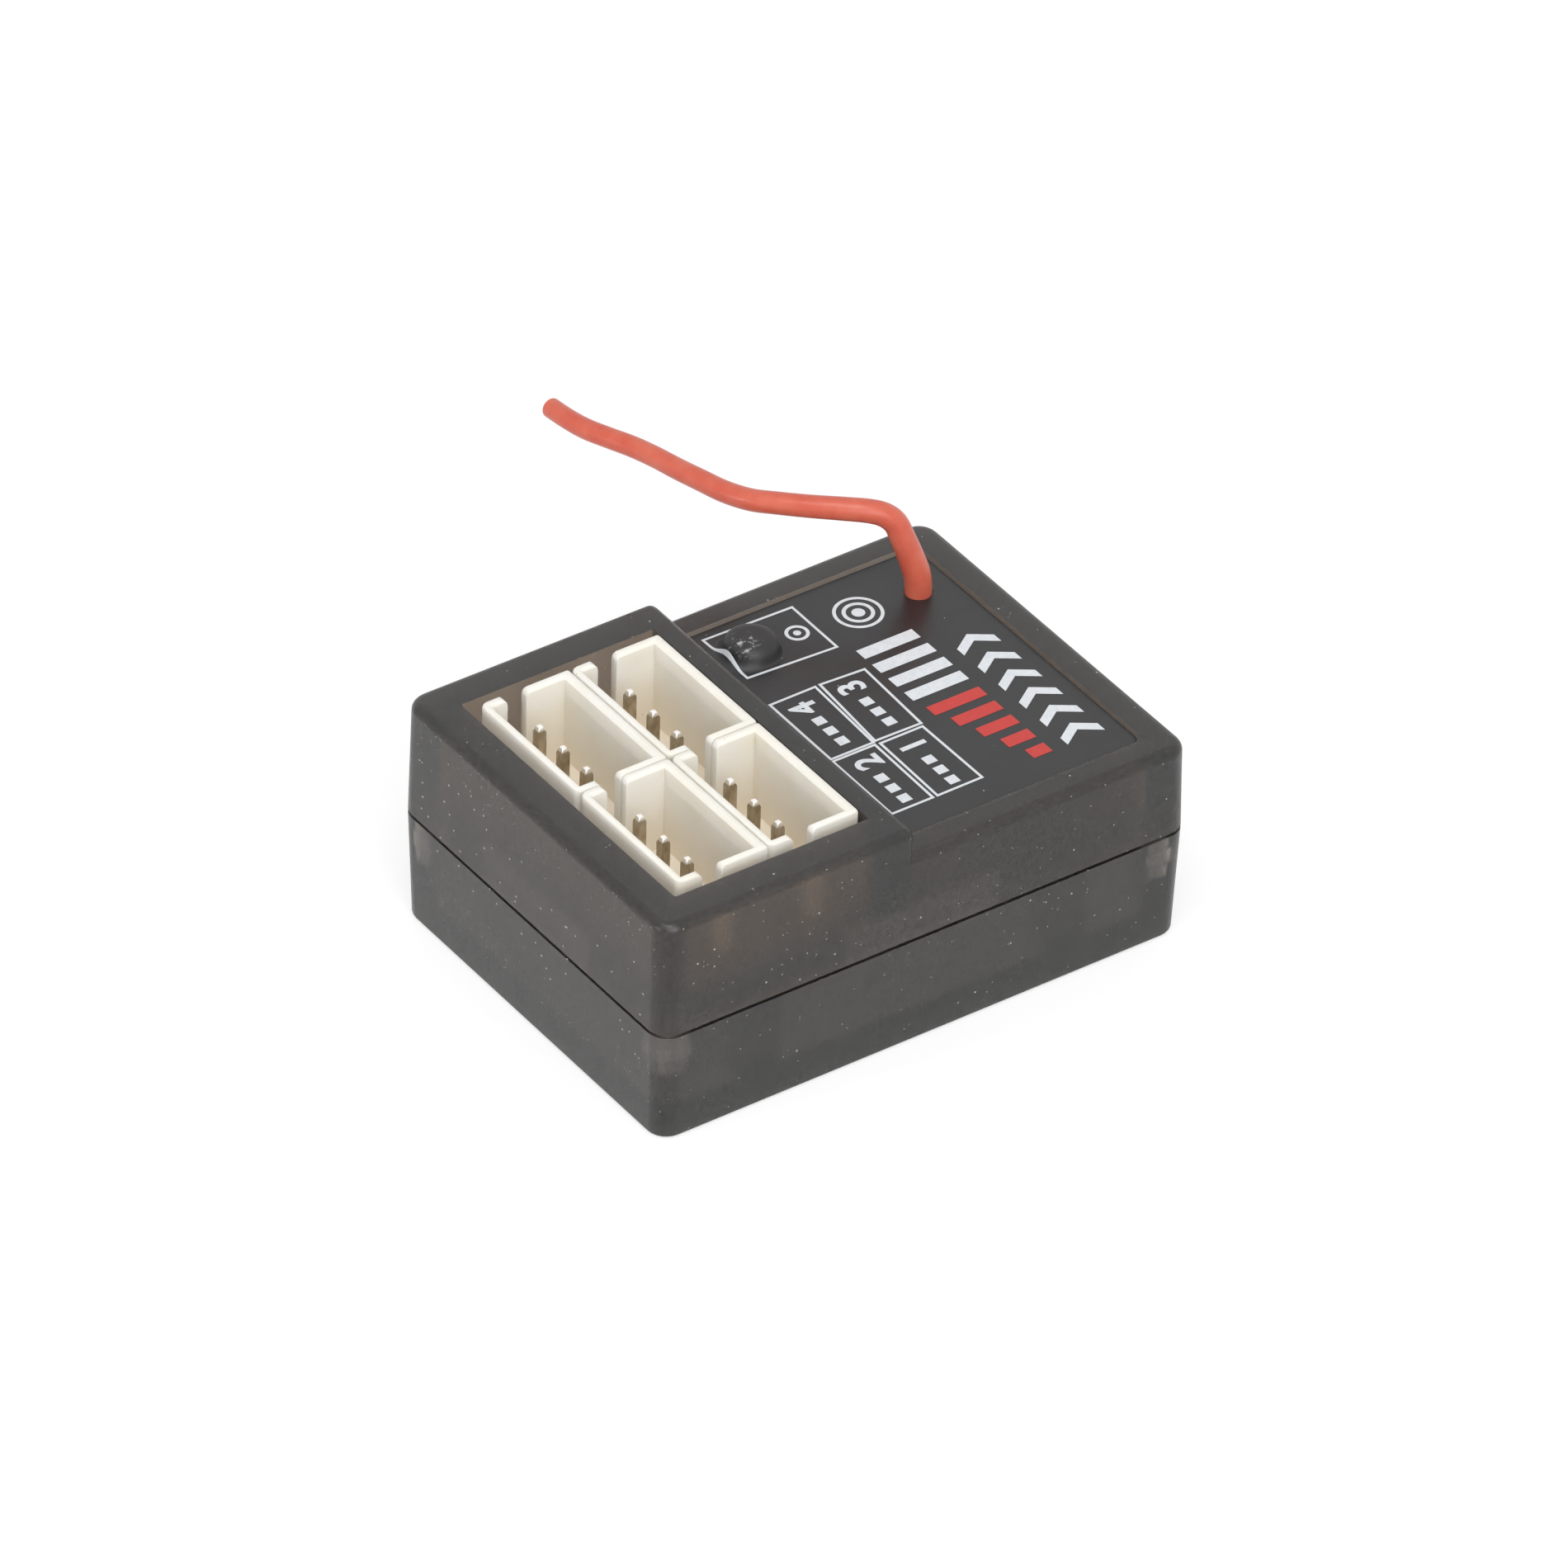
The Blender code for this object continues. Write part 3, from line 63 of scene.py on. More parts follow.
def startMaterial(name, look):
    material = bpy.data.materials.new(name)
    material.use_nodes = True
    shader = material.node_tree.nodes["Principled BSDF"]
    shader.inputs["Base Color"].default_value = (*screenColour(look["colour"]), 1)
    for socket, value in look.get("sockets", {}).items():
        shader.inputs[socket].default_value = value
    return material


def addNode(material, kind, sockets=(), **settings):
    made = material.node_tree.nodes.new(kind)
    for name, value in settings.items():
        setattr(made, name, value)
    for name, value in dict(sockets).items():
        if isinstance(value, bpy.types.NodeSocket):
            material.node_tree.links.new(value, made.inputs[name])
        else:
            made.inputs[name].default_value = value
    return made


def setShader(material, name, source):
    shader = material.node_tree.nodes["Principled BSDF"]
    material.node_tree.links.new(source, shader.inputs[name])


# Places on the piece, in millimetres, stretched where asked
def placeOf(material, stretch=(1, 1, 1)):
    found = addNode(material, "ShaderNodeTexCoord")
    scaled = addNode(
        material,
        "ShaderNodeVectorMath",
        {0: found.outputs["Object"], 1: [value / mm for value in stretch]},
        operation="MULTIPLY",
    )
    return scaled.outputs[0]


def noiseOf(material, place, scale, detail, rough=0.5):
    sockets = {"Vector": place, "Scale": scale, "Detail": detail, "Roughness": rough}
    return addNode(material, "ShaderNodeTexNoise", sockets).outputs["Fac"]


def mapRange(material, source, low, high, toLow=0.0, toHigh=1.0):
    sockets = {"Value": source, 1: low, 2: high, 3: toLow, 4: toHigh}
    return addNode(material, "ShaderNodeMapRange", sockets).outputs[0]


# A pattern of a look is (scale per mm, detail, roughness of the noise), (low, high and what they
# become), where the last values may be left out
def patternOf(material, place, pattern):
    noise, span = pattern
    return mapRange(material, noiseOf(material, place, *noise), *span)


def mathOf(material, operation, a, b):
    return addNode(material, "ShaderNodeMath", {0: a, 1: b}, operation=operation).outputs[0]


def mixColours(material, share, a, b):
    sockets = {0: share, 6: a, 7: b}
    for key in (6, 7):
        if not isinstance(sockets[key], bpy.types.NodeSocket):
            sockets[key] = (*screenColour(sockets[key]), 1)
    return addNode(material, "ShaderNodeMix", sockets, data_type="RGBA").outputs[2]


def addBump(material, height, depth, before=None):
    sockets = {"Height": height, "Strength": 1.0, "Distance": depth * mm}
    if before is not None:
        sockets["Normal"] = before
    bump = addNode(material, "ShaderNodeBump", sockets)
    setShader(material, "Normal", bump.outputs[0])
    return bump.outputs[0]


# Loose specks: one in each cell of a Voronoi pattern, kept in this share of the cells
def specksOf(material, place, perMm, size, kept):
    cells = addNode(material, "ShaderNodeTexVoronoi", {"Vector": place, "Scale": perMm})
    solidShare = 0.7       # of the radius, where a speck covers fully
    near = mapRange(material, cells.outputs["Distance"], size * perMm, size * perMm * solidShare)
    parts = addNode(material, "ShaderNodeSeparateColor", {0: cells.outputs["Color"]})
    chosen = mathOf(material, "LESS_THAN", parts.outputs[0], kept)
    return mathOf(material, "MULTIPLY", near, chosen)


# Small helpers for the meshes

def finishPiece(name, bm, material, body, stands=()):
    mesh = bpy.data.meshes.new(name)
    bm.to_mesh(mesh)
    bm.free()
    piece = bpy.data.objects.new(name, mesh)
    bpy.context.scene.collection.objects.link(piece)
    return settlePiece(piece, material, body, stands)


def settlePiece(piece, material, body, stands=()):
    piece.data.materials.append(material)
    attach(piece, body)
    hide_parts(*stands)
    return piece


def smoothByAngle(mesh, degrees):
    mesh.polygons.foreach_set("use_smooth", [True] * len(mesh.polygons))
    mesh.set_sharp_from_angle(angle=math.radians(degrees))


def paintNode(name, material):
    cadNodes[name].data.materials.clear()
    cadNodes[name].data.materials.append(material)


# A finely rounded edge on a solid of the frame, width in mm and limit in degrees
def softenEdges(name, width, segments=3, limit=40):
    solid = cadNodes[name]
    weld = solid.modifiers.new("weld", "WELD")
    weld.merge_threshold = 0.001 * mm
    bevel = solid.modifiers.new("soft_edge", "BEVEL")
    bevel.width = width * mm
    bevel.segments = segments
    bevel.limit_method = "ANGLE"
    bevel.angle_limit = math.radians(limit)
    smoothByAngle(solid.data, 180)
    solid.modifiers.new("even_shading", "WEIGHTED_NORMAL").keep_sharp = True


# Case: smoke-grey translucent plastic with a fine matt texture, dust and light scratches, painted shade
# on the wall round the label and a painted highlight on the pegs

smokeCase = {
    "colour": (240, 238, 235),
    "sockets": {"IOR": 1.52},
    "rough": ((2.2, 5, 0.6), (0.3, 0.7, 0.30, 0.41)),
    "clear": 0.995,        # share that the plastic lets in
    "haze": ((4.5, 6, 0.75), (0.36, 0.64, 0.0, 0.028)),   # what is lost to milkiness
    "clouds": ((0.35, 4), (0.35, 0.7)),
    "cloudColour": (228, 225, 222),
    "dust": ((2.0, 0.06, 0.11), (3.5, 0.034, 0.2)),       # cells per mm, radius in mm, share kept
    "scratches": ((1.3, 6, 0.8), (0.66, 0.76, 0.0, 0.3)),
    "scratchStretch": (1.0, 5.0, 1.0),
    "dustCover": 0.6,
    "dustColour": (205, 202, 196),
    # Painted shade on the wall round the label: its place, how it fades in, and its greyer colour
    "recess": ((-0.8, 14.3), (-10.2, 10.2), 11.28),   # along X, along Y and below this height, in mm
    "recessFade": 0.02,
    "recessShadeColour": (172, 174, 177),
    "upperSmoke": (0.585, 0.53, 0.485),   # what a millimetre of each half lets through, as shares
    "lowerSmoke": (0.50, 0.475, 0.455),
    "pegs": (5.9, 5.6, 0.0, 0.45),        # painted highlight: below these heights only the pegs are left, and they are made milkier so that they show as light strips
    "texture": (5.5, 5, 0.75),
    "grain": 0.009,        # depth of the matt texture in mm
    "softEdge": 0.07,      # rounding of the sharp edges in mm
}


def makeSmokePlastic(half, look):
    material = startMaterial(f"smoke_plastic_{half}", look)
    place = placeOf(material)
    clouds = patternOf(material, place, look["clouds"])
    colour = mixColours(material, clouds, look["colour"], look["cloudColour"])
    # Dust and scratches scatter light, so the plastic is not clear there
    marks = patternOf(material, placeOf(material, look["scratchStretch"]), look["scratches"])
    for specks in look["dust"]:
        marks = mathOf(material, "MAXIMUM", marks, specksOf(material, place, *specks))
    parts = addNode(material, "ShaderNodeSeparateXYZ", {0: place})
    if half == "upper":
        # Painted shade: the wall round the label is tinted greyer, so that less light glows through it
        (left, right), (near, far), top = look["recess"]
        recessShade = mapRange(material, parts.outputs[2], top, top - look["recessFade"])
        for axis, low, high in ((0, left, right), (1, near, far)):
            beyond = mathOf(material, "GREATER_THAN", parts.outputs[axis], low)
            before = mathOf(material, "LESS_THAN", parts.outputs[axis], high)
            recessShade = mathOf(material, "MULTIPLY", recessShade, mathOf(material, "MULTIPLY", beyond, before))
        colour = mixColours(material, recessShade, colour, look["recessShadeColour"])
    setShader(material, "Base Color", mixColours(material, marks, colour, look["dustColour"]))
    # The surface is a little milky, unevenly
    clear = mathOf(material, "SUBTRACT", look["clear"], patternOf(material, place, look["haze"]))
    # Painted highlight: the pegs below the joint are made milkier, so they show through the lower half
    # as light strips
    if half == "upper":
        pegGlintShare = mapRange(material, parts.outputs[2], *look["pegs"])
        clear = mathOf(material, "SUBTRACT", clear, pegGlintShare)
    bare = mathOf(material, "SUBTRACT", 1.0, mathOf(material, "MULTIPLY", marks, look["dustCover"]))
    setShader(material, "Transmission Weight", mathOf(material, "MULTIPLY", clear, bare))
    setShader(material, "Roughness", patternOf(material, place, look["rough"]))
    addBump(material, noiseOf(material, place, *look["texture"]), look["grain"])
    # What a millimetre takes away sets the density in the plastic
    taken = [-math.log(share) for share in look[f"{half}Smoke"]]
    densest = max(taken)
    absorbed = addNode(material, "ShaderNodeVolumeAbsorption")
    absorbed.inputs["Color"].default_value = (*[1 - value / densest for value in taken], 1)
    absorbed.inputs["Density"].default_value = densest / mm
    output = material.node_tree.nodes["Material Output"]
    material.node_tree.links.new(absorbed.outputs[0], output.inputs["Volume"])
    return material


for half in ("upper", "lower"):
    paintNode(f"{half}_shell", makeSmokePlastic(half, smokeCase))
    softenEdges(f"{half}_shell", smokeCase["softEdge"])
print("receiver: case shells dressed")


# Header housings in ivory nylon, with painted shade deeper down

ivoryHeader = {
    "colour": (235, 232, 224),
    "sockets": {
        "Roughness": 0.62,
        "IOR": 1.5,
        "Subsurface Weight": 0.55,
        "Subsurface Scale": 0.0006,
        "Subsurface Radius": (1.0, 0.95, 0.88),
    },
    "stains": ((0.5, 4), (0.42, 0.75)),
    "stainColour": (231, 226, 212),
    "depth": (12.0, 8.4),  # painted shade: the colour turns warmer and darker deeper down, between these heights, in mm
    "depthShadeColour": (237, 227, 210),
    "dust": (2.0, 0.045, 0.06),
    "dustColour": (170, 160, 140),
    "texture": (9.0, 4, 0.6),
    "grain": 0.002,
    "softEdge": 0.1,
}


def makeIvoryNylon(look):
    material = startMaterial("header_nylon", look)
    place = placeOf(material)
    stains = patternOf(material, place, look["stains"])
    colour = mixColours(material, stains, look["colour"], look["stainColour"])
    parts = addNode(material, "ShaderNodeSeparateXYZ", {0: place})
    # Painted shade: the walls turn warmer and darker deeper down in the housing
    depth = mapRange(material, parts.outputs[2], *look["depth"])
    colour = mixColours(material, depth, colour, look["depthShadeColour"])
    dust = specksOf(material, place, *look["dust"])
    setShader(material, "Base Color", mixColours(material, dust, colour, look["dustColour"]))
    addBump(material, noiseOf(material, place, *look["texture"]), look["grain"])
    return material


ivoryNylon = makeIvoryNylon(ivoryHeader)
channels = (1, 2, 3, 4)
for channel in channels:
    paintNode(f"channel_{channel}_header", ivoryNylon)
    softenEdges(f"channel_{channel}_header", ivoryHeader["softEdge"])
print("receiver: headers dressed")


# Square header pins, tinned, a little dull, with a painted highlight on the tips

tinnedPin = {
    "colour": (212, 202, 186),
    "sockets": {"Roughness": 0.28, "Metallic": 1.0},
    "dullColour": (178, 164, 140),
    "tip": (11.97, 12.01), # painted highlight: the tip is painted lighter from here, in mm above the base
    "tipColour": (250, 246, 242),
    "softEdge": 0.035,
}
# Wear and drawing marks, the same on all the metal
metalMarks = {
    "wear": ((3.0, 3), (0.35, 0.7)),
    "wearStretch": (1.0, 1.0, 0.6),
    "drawn": (2.0, 3),
    "drawnStretch": (9.0, 9.0, 0.6),
    "grain": 0.0015,
}


def makeMetal(name, look, marks):
    material = startMaterial(name, look)
    wear = patternOf(material, placeOf(material, marks["wearStretch"]), marks["wear"])
    colour = mixColours(material, wear, look["colour"], look["dullColour"])
    # Painted highlight: the tip of the pin is painted lighter
    if "tip" in look:
        parts = addNode(material, "ShaderNodeSeparateXYZ", {0: placeOf(material)})
        tip = mapRange(material, parts.outputs[2], *look["tip"])
        colour = mixColours(material, tip, colour, look["tipColour"])
    setShader(material, "Base Color", colour)
    drawn = noiseOf(material, placeOf(material, marks["drawnStretch"]), *marks["drawn"])
    addBump(material, drawn, marks["grain"])
    return material


pinMetal = makeMetal("tinned_pin", tinnedPin, metalMarks)
for channel in channels:
    for pole in ("signal", "positive", "negative"):
        pinName = f"channel_{channel}_{pole}_pin"
        paintNode(pinName, pinMetal)
        softenEdges(pinName, tinnedPin["softEdge"], segments=2, limit=25)
print("receiver: pins dressed")


# Aerial: a red insulated wire out of the label, over and away behind the case.
# Its route is measured from the hole in the recess floor: along X, along Y, up, in mm,
# and the share of the full thickness there.

aerialWire = {
    "colour": (197, 84, 63),
    "sockets": {
        "Roughness": 0.31,
        "IOR": 1.45,
        "Subsurface Weight": 0.25,
        "Subsurface Scale": 0.0006,
        "Subsurface Radius": (1.0, 0.35, 0.2),
    },
    "pale": ((0.6, 3), (0.35, 0.7)),
    "paleColour": (205, 106, 84),
    "deep": ((3.0, 5, 0.7), (0.55, 0.75, 0.0, 0.5)),
    "deepColour": (190, 74, 62),
    "texture": (5.0, 4, 0.6),
    "grain": 0.006,
    "radius": 0.69,
    "hole": (11.72, 6.42, 11.0),
    "sides": 9,            # bevel resolution
    "between": 6,          # points from one route point to the next
    "tipSteps": 6,         # the cut end is rounded over a little, in so many steps
    "tipTurn": 81,         # and through so many degrees,
    "tipReach": 0.35,      # further out by this share of the radius
    "tipNarrowing": 0.45,  # and thinner by this one where it turns fully
}
aerialRoute = (
    (0.0, 0.0, -2.9, 1.0),
    (0.0, 0.0, -0.3, 1.0),
    (-0.10, 0.0, 1.1, 1.0),
    (-0.40, 0.20, 2.3, 0.96),
    (-0.75, 0.43, 3.4, 0.93),
    (-1.0, 0.70, 4.2, 0.91),
    (-1.45, 0.98, 4.7, 0.90),
    (-2.1, 1.4, 4.95, 0.88),
    (-3.1, 2.2, 5.0, 0.86),
    (-4.3, 3.3, 4.95, 0.84),
    (-5.4, 4.5, 4.85, 0.83),
    (-6.2, 5.6, 4.7, 0.82),
    (-6.75, 7.0, 4.55, 0.81),
    (-7.1, 8.5, 4.45, 0.80),
    (-7.4, 10.1, 4.3, 0.79),
    (-7.7, 11.7, 4.2, 0.78),
    (-8.05, 13.1, 4.1, 0.78),
    (-8.5, 14.4, 4.0, 0.77),
    (-8.9, 15.8, 3.85, 0.77),
    (-9.1, 17.1, 3.75, 0.76),
    (-9.2, 18.6, 3.65, 0.76),
)


def smoothRoute(points, between):
    padded = [points[0], *points, points[-1]]
    smooth = []
    for a, b, c, d in zip(padded, padded[1:], padded[2:], padded[3:]):
        for step in range(between):
            t = step / between
            bend = (a * 2 - b * 5 + c * 4 - d) * t**2 + (b * 3 - a - c * 3 + d) * t**3
            smooth.append((b * 2 + (c - a) * t + bend) / 2)
    return smooth


def makeWireFinish(look):
    material = startMaterial("aerial_insulation_finish", look)
    place = placeOf(material)
    pale = patternOf(material, place, look["pale"])
    colour = mixColours(material, pale, look["colour"], look["paleColour"])
    deep = patternOf(material, place, look["deep"])
    setShader(material, "Base Color", mixColours(material, deep, colour, look["deepColour"]))
    addBump(material, noiseOf(material, place, *look["texture"]), look["grain"])
    return material


def makeAerial(look, route):
    hole = Vector((*look["hole"], 0.0))
    path = smoothRoute([Vector(point) + hole for point in route], look["between"])
    end, before = path[-1], path[-2]
    along = (end - before).xyz.normalized()
    for step in range(1, look["tipSteps"] + 1):
        angle = math.radians(look["tipTurn"] * step / look["tipSteps"])
        reach = look["tipReach"] * look["radius"] * end.w * math.sin(angle)
        share = end.w * (1 - look["tipNarrowing"] * (1 - math.cos(angle)))
        path.append(Vector((*(end.xyz + along * reach), share)))
    curve = bpy.data.curves.new("aerial_wire", "CURVE")
    curve.dimensions = "3D"
    curve.bevel_depth = look["radius"] * mm
    curve.bevel_resolution = look["sides"]
    curve.use_fill_caps = True
    spline = curve.splines.new("POLY")
    spline.points.add(len(path) - 1)
    for point, at in zip(spline.points, path):
        point.co = (at.x * mm, at.y * mm, at.z * mm, 1)
        point.radius = at.w
    spline.use_smooth = True
    wire = bpy.data.objects.new("aerial_wire", curve)
    bpy.context.scene.collection.objects.link(wire)
    settlePiece(wire, makeWireFinish(look), "case", ["aerial_insulation"])


makeAerial(aerialWire, aerialRoute)
print("receiver: aerial made")


# Label film: one sheet stretched over the bind button, which lifts it into a dome

labelFilm = {
    "colour": (36, 36, 37),
    "sockets": {"IOR": 1.5},
    "left": -0.69, "right": 13.63, "halfWidth": 9.43, "corner": 0.68,
    "bottom": 11.02, "top": 11.12,
    "dome": (2.09, 6.88),  # its middle, over the bind button
    "domeHeight": 0.93,
    "domeRadius": 1.5,     # of the round-shouldered form over the button
    "domePowers": (6, 0.6),       # how flat its crown and how full its shoulder is
    "domeFlare": 1.42,     # from here the film sweeps out to the flat
    "flarePowers": (2.2, 1.4),    # how steeply, and how much more towards the step
    "foot": 1.6,           # where it meets the flat film, on the free side
    "tent": 0.75,          # how much further that is towards the step
    "tentPower": 1.5,      # how narrow the tent is
    "patch": 2.55,         # radius of the fine mesh round the dome
    "patchSides": 96,
    "patchRings": ((0.05, 30), (0.1, 9)),   # width and number of its rings, from the rim in
    "aerialHole": 0.72,
    "holeSides": 48,
    "broad": ((0.22, 2, 0.4), (0.3, 0.7)),
    "secondColour": (32, 32, 33),
    "rough": ((1.6, 5, 0.6), (0.3, 0.75, 0.3, 0.42)),
    "domeRough": (2.4, 1.7, 0.0, 0.46),     # between these distances from the dome's middle
    "scuffs": ((2.6, 8, 0.75), (0.53, 0.62)),
    "scuffStretch": (1.0, 1.6, 1.0),
    "scuffShift": (-0.6, -0.3),    # from the top of the dome
    "scuffReach": (1.0, 0.4),
    "scuffCover": 0.75,
    "scuffColour": (196, 198, 200),
    "dust": (2.0, 0.04, 0.1),
    "waves": (0.45, 3, 0.5), "waveDepth": 0.02,
    "texture": (7.0, 5, 0.7), "grain": 0.0012,
    "keep": 0.74,          # thickness left, dome included, at the end of the travel
}


def filmHeight(look, x, y):
    centreX, centreY = look["dome"]
    dx, dy = x - centreX, y - centreY
    reach = math.hypot(dx, dy)
    towardsStep = max(0.0, -dx / reach) ** look["tentPower"] if reach > 0 else 0.0
    # A barely crowned top, a round shoulder, a steep side and a short flare at the foot
    crown, shoulder = look["domePowers"]
    flare = look["domeFlare"]
    height = look["domeHeight"] * (1 - (min(reach, flare) / look["domeRadius"]) ** crown) ** shoulder
    if reach > flare:
        foot = look["foot"] + look["tent"] * towardsStep
        share = min(1.0, (reach - flare) / (foot - flare))
        steepness, onTheTent = look["flarePowers"]
        height *= (1 - share) ** (steepness + onTheTent * towardsStep)
    return look["top"] + height


def roundedOutline(x0, x1, half, corner, segments=12):
    outline = [(x0, -half)]
    for centreY, start in ((-half + corner, -90), (half - corner, 0)):
        for step in range(segments + 1):
            angle = math.radians(start + 90 * step / segments)
            centreX = x1 - corner
            outline.append((centreX + corner * math.cos(angle), centreY + corner * math.sin(angle)))
    outline.append((x0, half))
    return outline


def circlePoints(centre, radius, count):
    turns = [2 * math.pi * step / count for step in range(count)]
    return [(centre[0] + radius * math.cos(t), centre[1] + radius * math.sin(t)) for t in turns]


def addLoop(bm, points, height):
    verts = [bm.verts.new((x * mm, y * mm, height * mm)) for x, y in points]
    edges = [bm.edges.new(pair) for pair in zip(verts, verts[1:] + verts[:1])]
    return verts, edges


def makeFilm(look, material):
    bm = bmesh.new()
    sides, level = look["patchSides"], look["top"]
    outline = roundedOutline(look["left"], look["right"], look["halfWidth"], look["corner"])
    outlineEdges = addLoop(bm, outline, level)[1]
    rim, patchEdges = addLoop(bm, circlePoints(look["dome"], look["patch"], sides), level)
    hole = circlePoints(aerialWire["hole"], look["aerialHole"], look["holeSides"])
    holeEdges = addLoop(bm, hole, level)[1]
    bmesh.ops.triangle_fill(bm, edges=outlineEdges + patchEdges + holeEdges, use_beauty=True)
    radii = [look["patch"]]
    for width, number in look["patchRings"]:
        radii += [radii[-1] - width * step for step in range(1, number + 1)]
    for radius in radii[1:]:
        ring = []
        for x, y in circlePoints(look["dome"], radius, sides):
            ring.append(bm.verts.new((x * mm, y * mm, filmHeight(look, x, y) * mm)))
        for step in range(sides):
            after = (step + 1) % sides
            bm.faces.new((rim[step], rim[after], ring[after], ring[step]))
        rim = ring
    middle = bm.verts.new((*[value * mm for value in look["dome"]], (level + look["domeHeight"]) * mm))
    for step in range(sides):
        bm.faces.new((rim[step], rim[(step + 1) % sides], middle))
    bmesh.ops.recalc_face_normals(bm, faces=bm.faces)
    if sum(face.normal.z * face.calc_area() for face in bm.faces) < 0:
        bmesh.ops.reverse_faces(bm, faces=bm.faces)
    # The underside is a copy a film's thickness lower, joined round the rims
    thickness = look["top"] - look["bottom"]
    lower = bmesh.ops.duplicate(bm, geom=bm.verts[:] + bm.edges[:] + bm.faces[:])["geom"]
    for item in lower:
        if isinstance(item, bmesh.types.BMVert):
            item.co.z -= thickness * mm
    lowerFaces = [item for item in lower if isinstance(item, bmesh.types.BMFace)]
    bmesh.ops.reverse_faces(bm, faces=lowerFaces)
    joinRims(bm, thickness)
    bmesh.ops.recalc_face_normals(bm, faces=bm.faces)
    film = finishPiece("label_film_sheet", bm, material, "case", ["label_film"])
    smoothByAngle(film.data, 50)
    return film


# Walls between the upper rim edges and the same edges of the underside
def joinRims(bm, drop):
    def spot(vert, lowered=0.0):
        return tuple(round(value / mm - less, 3) for value, less in zip(vert.co, (0, 0, lowered)))

    openEdges = [edge for edge in bm.edges if edge.is_boundary]
    found = {spot(vert): vert for edge in openEdges for vert in edge.verts}
    for edge in openEdges:
        below = [found.get(spot(vert, drop)) for vert in edge.verts]
        if None not in below:
            bm.faces.new((*edge.verts, *reversed(below)))


def makeFilmFinish(look):
    material = startMaterial("label_film_black", look)
    place = placeOf(material)

    def distanceTo(*point):
        sockets = {0: place, 1: point}
        return addNode(material, "ShaderNodeVectorMath", sockets, operation="DISTANCE").outputs["Value"]

    x, y = look["dome"]
    flatRough = patternOf(material, place, look["rough"])
    domeRough = mapRange(material, distanceTo(x, y, look["top"]), *look["domeRough"])
    setShader(material, "Roughness", mathOf(material, "MAXIMUM", flatRough, domeRough))
    # White scuffs where the thumb rubs the top of the dome
    shiftX, shiftY = look["scuffShift"]
    scuffMiddle = (x + shiftX, y + shiftY, look["top"] + look["domeHeight"])
    rubbed = mapRange(material, distanceTo(*scuffMiddle), *look["scuffReach"])
    scuffs = patternOf(material, placeOf(material, look["scuffStretch"]), look["scuffs"])
    scuffs = mathOf(material, "MULTIPLY", scuffs, rubbed)
    scuffs = mathOf(material, "MULTIPLY", scuffs, look["scuffCover"])
    marks = mathOf(material, "MAXIMUM", scuffs, specksOf(material, place, *look["dust"]))
    broad = patternOf(material, place, look["broad"])
    colour = mixColours(material, broad, look["colour"], look["secondColour"])
    setShader(material, "Base Color", mixColours(material, marks, colour, look["scuffColour"]))
    waves = addBump(material, noiseOf(material, place, *look["waves"]), look["waveDepth"])
    addBump(material, noiseOf(material, place, *look["texture"]), look["grain"], waves)
    return material


filmFinish = makeFilmFinish(labelFilm)
film = makeFilm(labelFilm, filmFinish)
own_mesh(film)
print("receiver: label film made")


# Print on the label: boxes with plain channel numbers, and plain marks elsewhere

labelPrint = {
    "white": {"colour": (220, 224, 228), "sockets": {"Roughness": 0.4}, "fadedColour": (150, 154, 158)},
    "red": {"colour": (196, 52, 46), "sockets": {"Roughness": 0.4}, "fadedColour": (150, 40, 38)},
    "faded": ((4.0, 5, 0.7), (0.35, 0.75, 0.0, 0.3)),
    "texture": (9.0, 3),
    "grain": 0.002,
    "lift": 0.004,         # above the film, in mm
    "thickness": 0.008,
    "line": 0.14,
    "linePieces": 24,      # along each side of a box, so that it follows the dome
    "ringSides": 48,
    "numberSize": 1.95,
    "numberBold": 0.05,    # the outlines are moved out by this
    "numberDrop": 1.0,     # from the top of a box to the middle of its number
    "pinDrop": 2.35, "pinPitch": 0.95, "pinHalf": 0.3,   # small squares that stand for the pins
}
bindBox = ((0.62, 8.85), (5.8, 8.72), (5.77, 4.86), (0.68, 5.14))
channelBoxes = {
    4: ((0.34, 2.75), (3.02, 2.77), (2.80, -2.44), (0.30, -2.44)),
    3: ((3.31, 2.79), (5.85, 2.64), (5.62, -2.43), (2.94, -2.38)),
    2: ((0.28, -2.63), (2.75, -2.63), (2.66, -7.59), (0.25, -7.59)),
    1: ((3.03, -2.68), (5.53, -2.67), (5.57, -7.57), (2.93, -7.59)),
}
# A ring and a dot beside the button, then radio waves: middle, outer and inner radius
printRings = (
    ((4.8, 6.85), 0.62, 0.44),
    ((4.8, 6.85), 0.2, 0.001),
    ((8.26, 6.6), 0.34, 0.001),
    ((8.26, 6.6), 0.82, 0.62),
    ((8.26, 6.6), 1.28, 1.1),
)
# Level bars that end on one line, as a start along Y and their lengths
levelBars = {
    "end": 9.65,
    "pitch": 1.35,
    "width": 0.78,
    "white": (-0.75, (3.3, 3.3, 3.3, 3.3)),
    "red": (-7.7, (1.1, 1.6, 2.1, 2.6, 3.1)),
}
arrowHeads = {
    "left": 10.55, "right": 12.75,
    "start": -7.7, "pitch": 1.72, "number": 6,
    "reach": 0.75, "line": 0.62,
}


def printHeight(x, y):
    return filmHeight(labelFilm, x, y) + labelPrint["lift"]


# A flat band between two lines of points, laid on the film
def addBand(bm, firstLine, secondLine, closed=False):
    def laid(line):
        return [bm.verts.new((x * mm, y * mm, printHeight(x, y) * mm)) for x, y in line]

    first, second = laid(firstLine), laid(secondLine)
    steps = len(first) if closed else len(first) - 1
    for step in range(steps):
        after = (step + 1) % len(first)
        bm.faces.new((first[step], first[after], second[after], second[step]))


def betweenPoints(a, b, count):
    return [(a[0] + (b[0] - a[0]) * s / count, a[1] + (b[1] - a[1]) * s / count) for s in range(count)]


